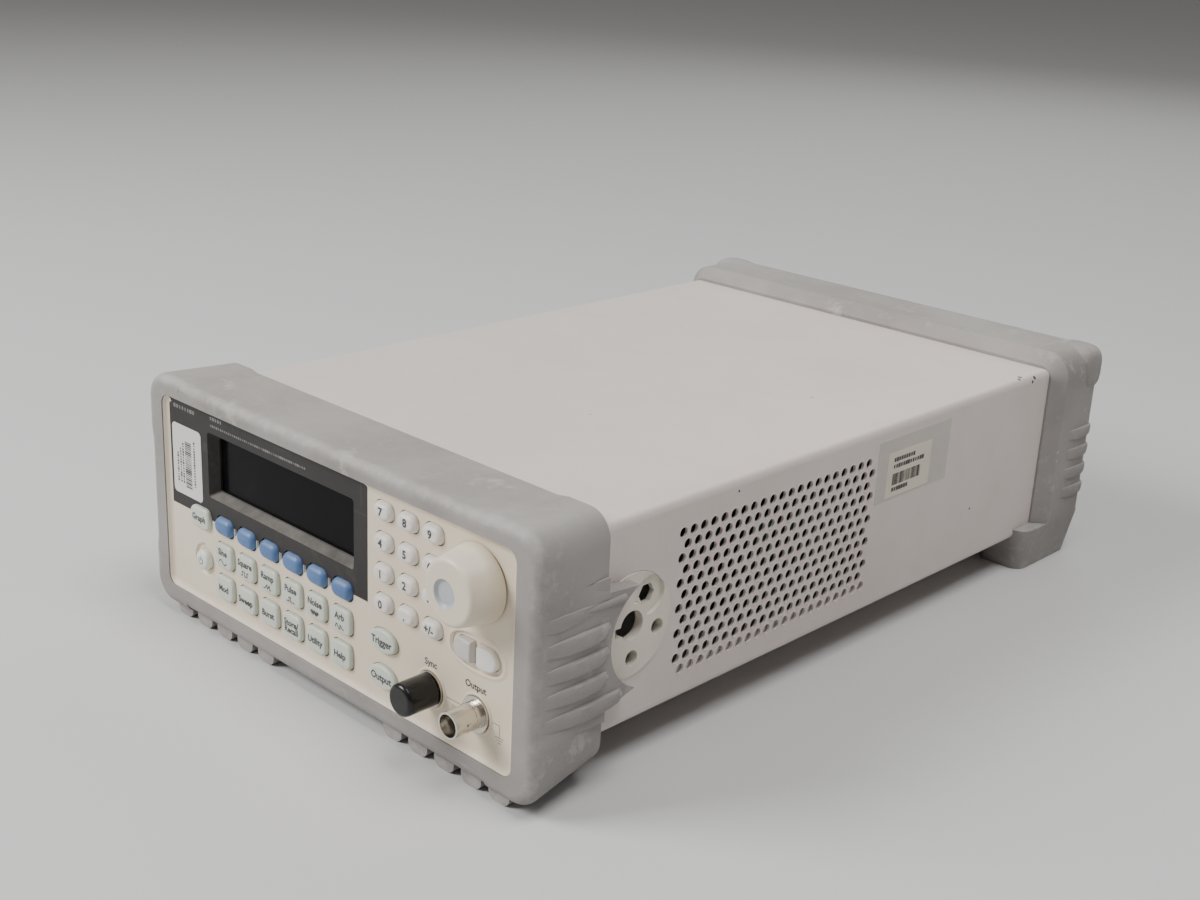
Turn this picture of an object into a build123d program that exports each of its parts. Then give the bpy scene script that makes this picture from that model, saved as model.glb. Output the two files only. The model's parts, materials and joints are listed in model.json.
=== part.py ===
from build123d import *
import os

# Bench function generator with rubber bumpers, in millimetres.
# +Z is up, the front panel faces -Y, and the origin is at the middle of the
# footprint, on the surface that the feet stand on.

# ---------------------------------------------------------------- clearances
fixed_gap = 0.15               # between pieces that don't move on each other
slide_gap = 0.25               # round a key in its window
running_gap = 0.05             # round a turning shaft, on the radius
blade_gap = 0.8                # fan blades to the fan's frame

# ---------------------------------------------------------------- driving sizes
overall_depth = 379.0          # dust cap's nose to the rear bumper's back face
case_width = 212.6             # half of a 19 inch rack, over the sheet metal sleeve
half_case = case_width / 2
cap_reach = 14.4               # dust cap's nose in front of the panel's face
panel_recess = 1.9             # panel's face behind the bumper's front ridge
panel_face = -overall_depth / 2 + cap_reach
ridge_y = panel_face - panel_recess
rear_end = overall_depth / 2

# Sheet metal sleeve
sleeve_wall = 1.2
sleeve_height = 79.3
sleeve_base = 15.8             # ground to the sleeve's underside
sleeve_edge_radius = 3.0
sleeve_front = ridge_y + 28.0
sleeve_rear = rear_end - 28.5
sleeve_top = sleeve_base + sleeve_height
sleeve_mid = sleeve_base + sleeve_height / 2

# Front panel moulding
panel_height = sleeve_height + 9.2       # two rack units
panel_mid = sleeve_mid - 1.4
panel_wall = 2.5
panel_corner_radius = 6.0
panel_back = panel_face + panel_wall
panel_depth = sleeve_front - panel_face

# Front bumper: it narrows from the ridge to its rear edge
opening_width = case_width - 5.0
opening_height = sleeve_height + 3.1
opening_radius = 4.5
ridge_half_width = half_case + 7.7
ridge_base = 3.9
ridge_top = sleeve_top + 6.9
bumper_half_width = half_case + 4.1
bumper_base = 8.8
bumper_top = sleeve_top + 5.7
bumper_corner_radius = 10.0
bumper_round = 4.0
bumper_rear = ridge_y + 34.85
corner_rise = 0.9              # the corner blocks stand this far proud
corner_block = 23.0            # width of each corner block
foot_rib_count = 5
foot_rib_pitch = 14.2
foot_rib_inner = 39.2          # first rib's distance from the middle
foot_rib_width = 10.4
foot_rib_front = ridge_y + 2.4
foot_rib_height = 12.0

# Handle pivots in the sleeve's sides, and the bumper's tabs round them
pivot_y = ridge_y + 52.5
pivot_z = 54.4
pivot_radius = 19.6
pivot_wall = 3.2
pivot_proud = 0.6
pivot_flange_radius = 21.4
pivot_flange_wall = 1.8
pivot_bore_radius = 5.6
pivot_slot_width = 3.6
pivot_slot_reach = 8.2
pivot_pocket_radius = 7.6
pivot_pocket_depth = 1.6
pivot_pocket_at = (8.4, -7.0 + 16.2)
pivot_hex_radius = 4.0
pivot_dowel_radius = 3.0
pivot_dowels = ((13.2, -4.3), (0.7, -12.7))
tab_reach = half_case + 6.5
tab_start = ridge_y + 9.0
tab_tip = ridge_y + 49.3
tab_root = (30.2, 74.2)        # tab's lower and upper edge at the bumper's rear edge
tab_end = (34.3, 72.8)         # and at its two tips
tab_arc_y = ridge_y + 57.0
tab_arc_z = 53.5
tab_arc_radius = 20.85
pivot_gap = 0.6                # pivot disc to the pocket under the tab
grip_count = 5
grip_pitch = 9.05
grip_mid = 52.3
grip_height = 4.0
grip_rise = 1.1
grip_start = ridge_y + 7.0
grip_end = ridge_y + 34.6
grip_outer_end = ridge_y + 42.0

# Rear bumper
seam_y = sleeve_rear - 10.0
rear_half_width = half_case + 6.7
rear_base = 8.8
rear_top = sleeve_top + 7.1
rear_corner_radius = 12.0
rear_round = 8.0
rear_slope = 6.0               # length of the slope that faces the sleeve
rear_opening_width = case_width - 10.6
rear_opening_height = sleeve_height - 6.3
rear_foot_inner = half_case - 22.3
rear_foot_front = seam_y - 14.0

# Vent field in both sides
vent_diameter = 4.2
vent_pitch = 5.57
vent_row_pitch = 4.9
vent_rows = 12
vent_columns = 21
vent_start = ridge_y + 77.6
vent_top = 82.2

# Keys: outline sizes, and centres as X and Z
key_travel = 1.0
key_height = 2.2
key_flange = 0.8
key_flange_margin = 0.8
key_foot_gap = 0.2             # flange to the panel's back face
mat_wall = 1.5
board_wall = 1.6
column_start = -63.6
column_pitch = 15.04
soft_z = 49.7
wave_z = 37.4
mode_z = 23.7
digit_start = 35.7
digit_pitch = 13.1
digit_top = 87.6
digit_drop = 11.64
soft_size = (11.7, 7.6)
menu_size = (11.8, 10.2)
digit_size = (10.1, 6.9)
oval_size = (15.0, 9.1)
graph_size = (13.0, 8.8)
power_size = (8.7, 8.7)
arrow_size = (9.4, 7.8)
graph_at = (-79.8, 49.0)
power_at = (-79.0, 30.9)
trigger_at = (35.8, 38.1)
output_at = (35.6, 23.9)
arrow_left_at = (78.2, 51.7)
arrow_right_at = (90.2, 51.7)
power_dish_radius = 7.0
power_dish_depth = 0.9
arrow_bed_depth = 0.5
arrow_bed_margin = 2.0
key_back = panel_back + key_foot_gap + key_flange
mat_face = key_back + key_travel + key_foot_gap
board_face = mat_face + mat_wall
board_back = board_face + board_wall
panel_posts = ((-95.5, 40.0), (-95.5, 20.8), (22.5, 45.5), (22.5, 20.6), (71.8, 90.3), (71.8, 63.0))
post_radius = 2.8

# Display
mask_wall = 1.2
mask_left = -100.8
mask_right = 25.8
mask_low = 49.7
mask_high = 96.2
window_left = -71.7
window_right = 14.2
window_low = 61.3
window_high = 84.2
bezel_left = -74.4
bezel_right = 18.0
bezel_low = 59.3
bezel_high = 86.4
bezel_depth = 4.6
bezel_lip = 0.9
bezel_side = 1.4
lens_wall = 1.5
glass_wall = 3.4

# Knob and rotary encoder
knob_at = (84.2, 77.6)
knob_base_radius = 13.9
knob_face_radius = 11.8
knob_height = 13.7
knob_round = 2.0
knob_foot_gap = 0.6
knob_skirt_wall = 2.0
knob_skirt_depth = 6.0
knob_hub_radius = 5.4
dimple_radius = 5.2
dimple_depth = 1.1
dimple_at = (knob_at[0] - 1.4, knob_at[1] - 0.7)
shaft_radius = 3.0
shaft_reach = 10.0
encoder_size = 13.5
encoder_depth = 7.0

# Coaxial sockets
jack_radius = 4.82
jack_bore_radius = 4.1
jack_reach = 12.95
jack_bore_depth = 9.0
jack_flange_radius = 6.55
jack_flange_wall = 1.2
jack_thread_radius = 4.7
jack_thread_length = 11.0
stud_radius = 1.0
stud_tip = 5.3                 # radius that the bayonet studs reach
stud_back = 5.6                # studs' distance from the mouth
output_jack_at = (84.7, 29.5)
sync_jack_at = (61.1, 29.5)
insulator_radius = 2.4
insulator_recess = 4.6
contact_radius = 0.7
nut_radius = 7.2
nut_wall = 2.6
cap_wall = 0.65
cap_foot_gap = 0.5
cap_end_wall = 1.0
cap_round = 1.6

# Rear panel and what it carries
rear_wall = 1.2
rear_face = sleeve_rear - rear_wall      # the rear panel's inner face
fan_at = (-60.0, 55.4)
fan_size = 60.0
fan_depth = 20.0
fan_bore_radius = 28.0
fan_hub_radius = 12.5
fan_pin_radius = 1.5
fan_blade_count = 7
fan_blade_wall = 1.2
fan_blade_tilt = 38.0
fan_strut_wall = 3.0
fan_screw_spacing = 50.0
grille_hole = 4.4
grille_pitch = 5.6
inlet_at = (74.0, 36.5)
inlet_flange = (50.0, 24.0)
inlet_body = (28.0, 20.4)
inlet_cavity = (24.2, 16.4)
inlet_screw_spacing = 40.0
inlet_depth = 24.0
inlet_cavity_depth = 16.0
inlet_flange_wall = 2.0
rear_jacks_at = ((12.0, 81.0), (40.0, 81.0))
gpib_at = (12.0, 58.5)
gpib_size = (53.0, 14.5)
lan_at = (-2.0, 34.0)
lan_size = (16.2, 13.4)
usb_at = (26.0, 34.0)
usb_size = (12.2, 11.0)
port_depth = 14.0
port_proud = 0.6

# Inside
tray_wall = 1.0
tray_side_height = 12.0
tray_front = sleeve_front + 4.0
standoff_height = 6.0
standoff_radius = 3.0
board_edge = half_case - 8.3
board_rear = rear_face - 36.8
main_board_x = (-board_edge, 12.0)
main_board_y = (ridge_y + 66.0, board_rear)
supply_x = (24.0, board_edge)
supply_y = (board_rear - 150.0, board_rear)
board_margin = 6.0
screw_radius = 1.2
screw_head_radius = 2.6
screw_head_height = 1.6
screw_bite = 2.8               # shank beyond what the screw holds

os.makedirs("parts", exist_ok=True)


# ---------------------------------------------------------------- helpers
def front_plane(y, x=0.0, z=0.0):
    """Sketch plane with axes X and Z; a positive extrusion goes towards -Y."""
    return Plane(origin=(x, y, z), x_dir=(1, 0, 0), z_dir=(0, -1, 0))


def side_plane(x, y=0.0, z=0.0):
    """Sketch plane with axes Y and Z; a positive extrusion goes towards +X."""
    return Plane(origin=(x, y, z), x_dir=(0, 1, 0), z_dir=(1, 0, 0))


def save(part, label):
    """Name a finished piece and write it to its own file."""
    part.label = label
    export_step(part, f"parts/{label}.step")


def box_between(low, high, mode=Mode.ADD):
    """A block from its low corner to its high corner."""
    size = [b - a for a, b in zip(low, high)]
    middle = [(a + b) / 2 for a, b in zip(low, high)]
    with Locations(tuple(middle)):
        Box(*size, mode=mode)


# ---------------------------------------------------------------- key table
column_x = [column_start + column_pitch * i for i in range(6)]
wave_names = ("sine", "square", "ramp", "pulse", "noise", "arbitrary")
mode_names = ("modulate", "sweep", "burst", "store_recall", "utility", "help")
digit_rows = ("789", "456", "123")

# Each key: name, centre, outline, size, corner radius, rounding of its face
keys = [(f"soft_key_{i + 1}", (x, soft_z), "box", soft_size, 2.8, 1.2) for i, x in enumerate(column_x)]
keys += [(f"{n}_key", (x, wave_z), "box", menu_size, 2.3, 0.9) for n, x in zip(wave_names, column_x)]
keys += [(f"{n}_key", (x, mode_z), "box", menu_size, 2.3, 0.9) for n, x in zip(mode_names, column_x)]
for down, row in enumerate((("key_7", "key_8", "key_9"), ("key_4", "key_5", "key_6"),
                            ("key_1", "key_2", "key_3"), ("key_0", "point_key", "sign_key"))):
    for across, name in enumerate(row):
        place = (digit_start + digit_pitch * across, digit_top - digit_drop * down)
        keys.append((name, place, "box", digit_size, 3.0, 1.5))
keys += [
    ("graph_key", graph_at, "box", graph_size, 3.8, 1.2),
    ("power_key", power_at, "oval", power_size, 0.0, 1.4),
    ("trigger_key", trigger_at, "oval", oval_size, 0.0, 1.0),
    ("output_key", output_at, "oval", oval_size, 0.0, 1.0),
    ("cursor_left_key", arrow_left_at, "left", arrow_size, 0.0, 1.2),
    ("cursor_right_key", arrow_right_at, "right", arrow_size, 0.0, 1.2),
]


def key_outline(outline, size, corner, grow=0.0):
    """Draw a key's outline in the current sketch, grown by a margin."""
    width = size[0] + 2 * grow
    height = size[1] + 2 * grow
    if outline == "box":
        RectangleRounded(width, height, corner + grow)
    elif outline == "oval":
        Ellipse(width / 2, height / 2)
    else:
        # A D shape, round on the side that the arrow points to
        side = 1 if outline == "right" else -1
        with Locations((-side * height / 4, 0)):
            Rectangle(width - height / 2, height)
        with Locations((side * (width - height) / 2, 0)):
            Circle(height / 2)


# ---------------------------------------------------------------- keys
for name, place, outline, size, corner, rounding in keys:
    with BuildPart() as key:
        with BuildSketch(front_plane(key_back, *place)):
            key_outline(outline, size, corner)
        extrude(amount=key_back - panel_face + key_height)
        fillet(key.faces().sort_by(Axis.Y)[0].edges(), radius=rounding)
        with BuildSketch(front_plane(key_back, *place)):
            key_outline(outline, size, corner, grow=slide_gap + key_flange_margin)
        extrude(amount=key_flange)
    save(key.part, name)

# ---------------------------------------------------------------- front panel
bezel_width = bezel_right - bezel_left
bezel_height = bezel_high - bezel_low
bezel_mid = ((bezel_left + bezel_right) / 2, (bezel_low + bezel_high) / 2)
mask_size = (mask_right - mask_left, mask_high - mask_low)
mask_mid = ((mask_left + mask_right) / 2, (mask_low + mask_high) / 2)
arrow_mid = ((arrow_left_at[0] + arrow_right_at[0]) / 2, arrow_left_at[1])
arrow_bed = (arrow_right_at[0] - arrow_left_at[0] + arrow_size[0] + 2 * arrow_bed_margin,
             arrow_size[1] + 2 * arrow_bed_margin)

with BuildPart() as front_panel:
    with BuildSketch(front_plane(sleeve_front, z=panel_mid)):
        RectangleRounded(case_width, panel_height, panel_corner_radius)
    extrude(amount=panel_depth)
    with BuildSketch(front_plane(sleeve_front, z=panel_mid)):
        RectangleRounded(case_width - 2 * panel_wall, panel_height - 2 * panel_wall,
                         panel_corner_radius - panel_wall)
    extrude(amount=panel_depth - panel_wall, mode=Mode.SUBTRACT)
    with BuildSketch(front_plane(board_face)):
        with Locations(*panel_posts):
            Circle(post_radius)
            Circle(screw_radius + fixed_gap, mode=Mode.SUBTRACT)
    extrude(amount=board_face - panel_back)
    # Bed for the dark mask, and the well that its bezel drops into
    with BuildSketch(front_plane(panel_face + mask_wall, *mask_mid)):
        Rectangle(mask_size[0] + 2 * fixed_gap, mask_size[1] + 2 * fixed_gap)
    extrude(amount=mask_wall, mode=Mode.SUBTRACT)
    with BuildSketch(front_plane(panel_back, *bezel_mid)):
        Rectangle(bezel_width + 2 * (bezel_side + fixed_gap), bezel_height + 2 * (bezel_side + fixed_gap))
    extrude(amount=panel_wall, mode=Mode.SUBTRACT)
    # Dish round the power key, and a shallow bed round the cursor keys
    with BuildSketch(front_plane(panel_face + power_dish_depth, *power_at)):
        Circle(power_dish_radius - power_dish_depth)
    with BuildSketch(front_plane(panel_face, *power_at)):
        Circle(power_dish_radius)
    loft(mode=Mode.SUBTRACT)
    with BuildSketch(front_plane(panel_face + arrow_bed_depth, *arrow_mid)):
        SlotOverall(*arrow_bed)
    extrude(amount=arrow_bed_depth, mode=Mode.SUBTRACT)
    for name, place, outline, size, corner, rounding in keys:
        with BuildSketch(front_plane(panel_back, *place)):
            key_outline(outline, size, corner, grow=slide_gap)
        extrude(amount=panel_wall, mode=Mode.SUBTRACT)
    with BuildSketch(front_plane(panel_back)):
        with Locations(knob_at):
            Circle(shaft_radius + slide_gap)
        with Locations(output_jack_at, sync_jack_at):
            Circle(jack_thread_radius + fixed_gap)
    extrude(amount=panel_wall, mode=Mode.SUBTRACT)
save(front_panel.part, "front_panel")

# ---------------------------------------------------------------- display
window_size = (window_right - window_left, window_high - window_low)
window_mid = ((window_left + window_right) / 2, (window_low + window_high) / 2)
bezel_back = panel_face + bezel_depth
with BuildPart() as display_mask:
    with BuildSketch(front_plane(panel_face + mask_wall, *mask_mid)):
        Rectangle(*mask_size)
    extrude(amount=mask_wall)
    with BuildSketch(front_plane(bezel_back, *bezel_mid)):
        Rectangle(bezel_width + 2 * bezel_side, bezel_height + 2 * bezel_side)
    extrude(amount=bezel_depth)
    # Sloping sides that run down to the window
    with BuildSketch(front_plane(bezel_back - bezel_lip, *window_mid)):
        RectangleRounded(*window_size, 1.5)
    with BuildSketch(front_plane(panel_face, *bezel_mid)):
        RectangleRounded(bezel_width, bezel_height, 1.5)
    loft(mode=Mode.SUBTRACT)
    with BuildSketch(front_plane(bezel_back, *window_mid)):
        RectangleRounded(*window_size, 1.5)
    extrude(amount=bezel_lip, mode=Mode.SUBTRACT)
    for name, place, outline, size, corner, rounding in keys:
        if place[1] + size[1] / 2 > mask_low and place[0] < mask_right:
            with BuildSketch(front_plane(panel_face + mask_wall, *place)):
                key_outline(outline, size, corner, grow=slide_gap)
            extrude(amount=mask_wall, mode=Mode.SUBTRACT)
save(display_mask.part, "display_mask")

lens_back = bezel_back + lens_wall
glass_back = lens_back + glass_wall
with BuildPart() as display_window:
    with BuildSketch(front_plane(lens_back, *window_mid)):
        RectangleRounded(window_size[0] + 4.0, window_size[1] + 4.0, 1.5)
    extrude(amount=lens_wall)
save(display_window.part, "display_window")

with BuildPart() as display_module:
    with BuildSketch(front_plane(glass_back, *window_mid)):
        Rectangle(window_size[0] + 6.0, window_size[1] + 5.0)
    extrude(amount=glass_wall)
    with BuildSketch(front_plane(glass_back + board_wall, *window_mid)):
        Rectangle(window_size[0] + 12.0, window_size[1] + 10.0)
    extrude(amount=board_wall)
    with BuildSketch(front_plane(glass_back + board_wall + 3.0, *window_mid)):
        with GridLocations(26.0, 1.0, 3, 1):
            Rectangle(16.0, 12.0)
    extrude(amount=3.0)
save(display_module.part, "display_module")


# ---------------------------------------------------------------- key mat and board
def key_board_outline():
    """L shape behind the keys, clear of the display and the connectors."""
    with BuildLine() as outline:
        Polyline(
            (-99.0, 17.5), (46.5, 17.5), (46.5, 46.2), (99.0, 46.2), (99.0, 57.8), (75.6, 57.8),
            (75.6, 93.8), (27.0, 93.8), (27.0, 55.4), (-99.0, 55.4), close=True,
        )
    make_face(outline.line)


with BuildPart() as keypad_mat:
    with BuildSketch(front_plane(board_face)):
        key_board_outline()
        with Locations(*panel_posts):
            Circle(post_radius + fixed_gap, mode=Mode.SUBTRACT)
    extrude(amount=mat_wall)
save(keypad_mat.part, "keypad_mat")

with BuildPart() as keypad_board:
    with BuildSketch(front_plane(board_back)):
        key_board_outline()
        with Locations(*panel_posts):
            Circle(screw_radius + fixed_gap, mode=Mode.SUBTRACT)
    extrude(amount=board_wall)
    with BuildSketch(front_plane(board_back + 2.4)):
        with Locations((-60.0, 32.0), (-15.0, 32.0), (52.0, 74.0)):
            Rectangle(14.0, 14.0)
    extrude(amount=2.4)
save(keypad_board.part, "keypad_board")

# ---------------------------------------------------------------- knob and encoder
with BuildPart() as encoder:
    with BuildSketch(front_plane(panel_back + encoder_depth, *knob_at)):
        Rectangle(encoder_size, encoder_size)
    extrude(amount=encoder_depth)
    with BuildSketch(front_plane(panel_back, *knob_at)):
        Circle(shaft_radius)
    extrude(amount=panel_wall + shaft_reach)
save(encoder.part, "encoder")

knob_foot = panel_face - knob_foot_gap
knob_nose = panel_face - knob_height
with BuildPart() as knob:
    with BuildSketch(front_plane(knob_foot, *knob_at)):
        Circle(knob_base_radius)
    with BuildSketch(front_plane(knob_nose, *knob_at)):
        Circle(knob_face_radius)
    loft()
    fillet(knob.faces().sort_by(Axis.Y)[0].edges(), radius=knob_round)
    with BuildSketch(front_plane(knob_nose + dimple_depth, *dimple_at)):
        Circle(dimple_radius - dimple_depth)
    with BuildSketch(front_plane(knob_nose, *dimple_at)):
        Circle(dimple_radius)
    loft(mode=Mode.SUBTRACT)
    with BuildSketch(front_plane(knob_foot, *knob_at)):
        Circle(knob_base_radius - knob_skirt_wall)
        Circle(knob_hub_radius, mode=Mode.SUBTRACT)
    extrude(amount=knob_skirt_depth, mode=Mode.SUBTRACT)
    with BuildSketch(front_plane(knob_foot, *knob_at)):
        Circle(shaft_radius + running_gap)
    extrude(amount=shaft_reach - knob_foot_gap + slide_gap, mode=Mode.SUBTRACT)
save(knob.part, "knob")

# ---------------------------------------------------------------- coaxial sockets
# Each socket: the outer face that its flange sits on, its centre, and which
# way it points (1 for forward, -1 for back)
front_sockets = [(panel_face, output_jack_at, 1), (panel_face, sync_jack_at, 1)]
rear_sockets = [(sleeve_rear, place, -1) for place in rear_jacks_at]
sockets = front_sockets + rear_sockets

for jack_name, group in (("front_jacks", front_sockets), ("rear_jacks", rear_sockets)):
    with BuildPart() as jacks:
        for face, place, way in group:
            mouth = face - way * jack_reach
            with BuildSketch(front_plane(mouth, *place)):
                Circle(jack_radius)
            extrude(amount=-way * jack_reach)
            with BuildSketch(front_plane(face, *place)):
                Circle(jack_flange_radius)
            extrude(amount=way * jack_flange_wall)
            with BuildSketch(front_plane(face, *place)):
                Circle(jack_thread_radius)
            extrude(amount=-way * jack_thread_length)
            with BuildSketch(side_plane(place[0] - stud_tip, mouth + way * stud_back, place[1])):
                Circle(stud_radius)
            extrude(amount=2 * stud_tip)
            with BuildSketch(front_plane(mouth, *place)):
                Circle(jack_bore_radius)
            extrude(amount=-way * jack_bore_depth, mode=Mode.SUBTRACT)
    save(jacks.part, jack_name)

with BuildPart() as bnc_insulators:
    for face, place, way in sockets:
        with BuildSketch(front_plane(face - way * (jack_reach - insulator_recess), *place)):
            Circle(insulator_radius)
            Circle(contact_radius, mode=Mode.SUBTRACT)
        extrude(amount=-way * (jack_bore_depth - insulator_recess))
save(bnc_insulators.part, "bnc_insulators")

cap_foot = panel_face - jack_flange_wall - cap_foot_gap
cap_nose = panel_face - cap_reach
cap_bore_radius = stud_tip + 2 * running_gap
with BuildPart() as dust_cap:
    with BuildSketch(front_plane(cap_foot, *sync_jack_at)):
        Circle(cap_bore_radius + cap_wall)
    extrude(amount=cap_foot - cap_nose)
    fillet(dust_cap.faces().sort_by(Axis.Y)[0].edges(), radius=cap_round)
    with BuildSketch(front_plane(cap_foot, *sync_jack_at)):
        Circle(cap_bore_radius)
    extrude(amount=cap_foot - cap_nose - cap_end_wall, mode=Mode.SUBTRACT)
save(dust_cap.part, "dust_cap")

# ---------------------------------------------------------------- sleeve
with BuildPart() as cover_sleeve:
    with BuildSketch(front_plane(sleeve_rear, z=sleeve_mid)):
        RectangleRounded(case_width, sleeve_height, sleeve_edge_radius)
        RectangleRounded(case_width - 2 * sleeve_wall, sleeve_height - 2 * sleeve_wall,
                         sleeve_edge_radius - sleeve_wall, mode=Mode.SUBTRACT)
    extrude(amount=sleeve_rear - sleeve_front)
    vent_places = [
        (vent_start + vent_pitch * (column + (row % 2) / 2), vent_top - vent_row_pitch * row)
        for row in range(vent_rows) for column in range(vent_columns)
    ]
    with BuildSketch(side_plane(-half_case)):
        with Locations(*vent_places):
            Circle(vent_diameter / 2)
        with Locations((pivot_y, pivot_z)):
            Circle(pivot_radius + fixed_gap)
    extrude(amount=case_width, mode=Mode.SUBTRACT)
save(cover_sleeve.part, "cover_sleeve")

# ---------------------------------------------------------------- handle pivots
pivot_face = half_case + pivot_proud
pivot_seat = half_case - sleeve_wall
with BuildPart() as handle_pivots:
    with BuildSketch(side_plane(pivot_face, pivot_y, pivot_z)):
        Circle(pivot_radius)
    extrude(amount=-pivot_wall)
    with BuildSketch(side_plane(pivot_seat, pivot_y, pivot_z)):
        Circle(pivot_flange_radius)
    extrude(amount=-pivot_flange_wall)
    # Pocket with a hexagon hole, kept off the boss round the bore
    with BuildSketch(side_plane(pivot_face, pivot_y, pivot_z)):
        with Locations(pivot_pocket_at):
            Circle(pivot_pocket_radius)
        Circle(pivot_bore_radius + 2.4, mode=Mode.SUBTRACT)
    extrude(amount=-pivot_pocket_depth, mode=Mode.SUBTRACT)
    # Bore with its key slot, the hexagon, and two round dowel holes
    with BuildSketch(side_plane(pivot_face, pivot_y, pivot_z)):
        Circle(pivot_bore_radius)
        with Locations((-pivot_slot_reach / 2, -1.0)):
            Rectangle(pivot_slot_reach, pivot_slot_width)
        with Locations(pivot_pocket_at):
            RegularPolygon(pivot_hex_radius, 6)
        with Locations(*pivot_dowels):
            Circle(pivot_dowel_radius)
    extrude(amount=-2 * pivot_wall, mode=Mode.SUBTRACT)
    mirror(about=Plane.YZ)
save(handle_pivots.part, "handle_pivots")

# ---------------------------------------------------------------- front bumper
ridge_height = ridge_top - ridge_base
ridge_mid = (ridge_top + ridge_base) / 2
bumper_height = bumper_top - bumper_base
bumper_mid = (bumper_top + bumper_base) / 2


def bumper_shell(grow):
    """Solid outer form of the front bumper, grown all round."""
    with BuildPart() as shell:
        with BuildSketch(front_plane(bumper_rear, z=bumper_mid)):
            RectangleRounded(2 * (bumper_half_width + grow), bumper_height + 2 * grow,
                             bumper_corner_radius)
        with BuildSketch(front_plane(ridge_y, z=ridge_mid)):
            RectangleRounded(2 * (ridge_half_width + grow), ridge_height + 2 * grow,
                             bumper_corner_radius + 1.0)
        loft(ruled=True)
        fillet(shell.faces().sort_by(Axis.Y)[0].edges(), radius=bumper_round)
    return shell.part


main_shell = bumper_shell(0.0)
corner_shell = bumper_shell(corner_rise)
corner_inner = ridge_half_width - corner_block

with BuildPart() as corner_blocks:
    add(corner_shell)
    with BuildSketch(front_plane(bumper_rear, z=ridge_mid)):
        Rectangle(2 * corner_inner, 2 * ridge_height)
    extrude(amount=2 * panel_depth, mode=Mode.SUBTRACT)
    with BuildSketch(front_plane(bumper_rear, z=ridge_mid)):
        Rectangle(4 * ridge_half_width, ridge_height - 2 * corner_block)
    extrude(amount=2 * panel_depth, mode=Mode.SUBTRACT)

with BuildPart() as side_tab:
    # Seen from the side: two tips, hollowed round the handle pivot
    with BuildSketch(side_plane(half_case + fixed_gap)):
        with BuildLine():
            Polyline((tab_start, tab_root[0]), (bumper_rear, tab_root[0]), (tab_tip, tab_end[0]),
                     (tab_tip, tab_end[1]), (bumper_rear, tab_root[1]), (tab_start, tab_root[1]),
                     close=True)
        make_face()
    extrude(amount=tab_reach - half_case - fixed_gap)
    # Finger grips that rise out of the side towards the rear
    for i in range(grip_count):
        grip_z = grip_mid + grip_pitch * (i - (grip_count - 1) / 2)
        outer = i in (0, grip_count - 1)
        with BuildSketch(front_plane(grip_start, tab_reach - 2.4, grip_z)):
            Ellipse(2.0, grip_height / 2)
        with BuildSketch(front_plane(grip_outer_end if outer else grip_end, tab_reach - 2.0, grip_z)):
            Ellipse(2.0 + grip_rise, grip_height / 2)
        loft()
    with BuildSketch(side_plane(half_case, tab_arc_y, tab_arc_z)):
        Circle(tab_arc_radius)
    extrude(amount=2 * (tab_reach - half_case), mode=Mode.SUBTRACT)

with BuildPart() as front_bumper:
    add(main_shell)
    add(corner_blocks.part)
    add(side_tab.part)
    mirror(side_tab.part, about=Plane.YZ)
    for side in (-1, 1):
        for i in range(foot_rib_count):
            rib_x = side * (foot_rib_inner + foot_rib_pitch * i)
            with BuildSketch(front_plane(bumper_rear, rib_x, foot_rib_height / 2)):
                RectangleRounded(foot_rib_width, foot_rib_height, 3.4)
            extrude(amount=bumper_rear - foot_rib_front)
    # Opening in front, seat for the front panel, and seat for the sleeve
    with BuildSketch(front_plane(panel_face, z=panel_mid)):
        RectangleRounded(opening_width, opening_height, opening_radius)
    extrude(amount=2 * panel_depth, mode=Mode.SUBTRACT)
    with BuildSketch(front_plane(sleeve_front, z=panel_mid)):
        RectangleRounded(case_width + 2 * fixed_gap, panel_height + 2 * fixed_gap,
                         panel_corner_radius + fixed_gap)
    extrude(amount=panel_depth + fixed_gap, mode=Mode.SUBTRACT)
    with BuildSketch(front_plane(tab_tip, z=sleeve_mid)):
        RectangleRounded(case_width + 2 * fixed_gap, sleeve_height + 2 * fixed_gap,
                         sleeve_edge_radius + fixed_gap)
    extrude(amount=tab_tip - sleeve_front, mode=Mode.SUBTRACT)
    # Pockets that clear the handle pivots' raised discs
    with BuildSketch(side_plane(-pivot_face - pivot_gap, pivot_y, pivot_z)):
        Circle(pivot_radius + pivot_gap)
    extrude(amount=2 * (pivot_face + pivot_gap), mode=Mode.SUBTRACT)
save(front_bumper.part, "front_bumper")

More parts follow.
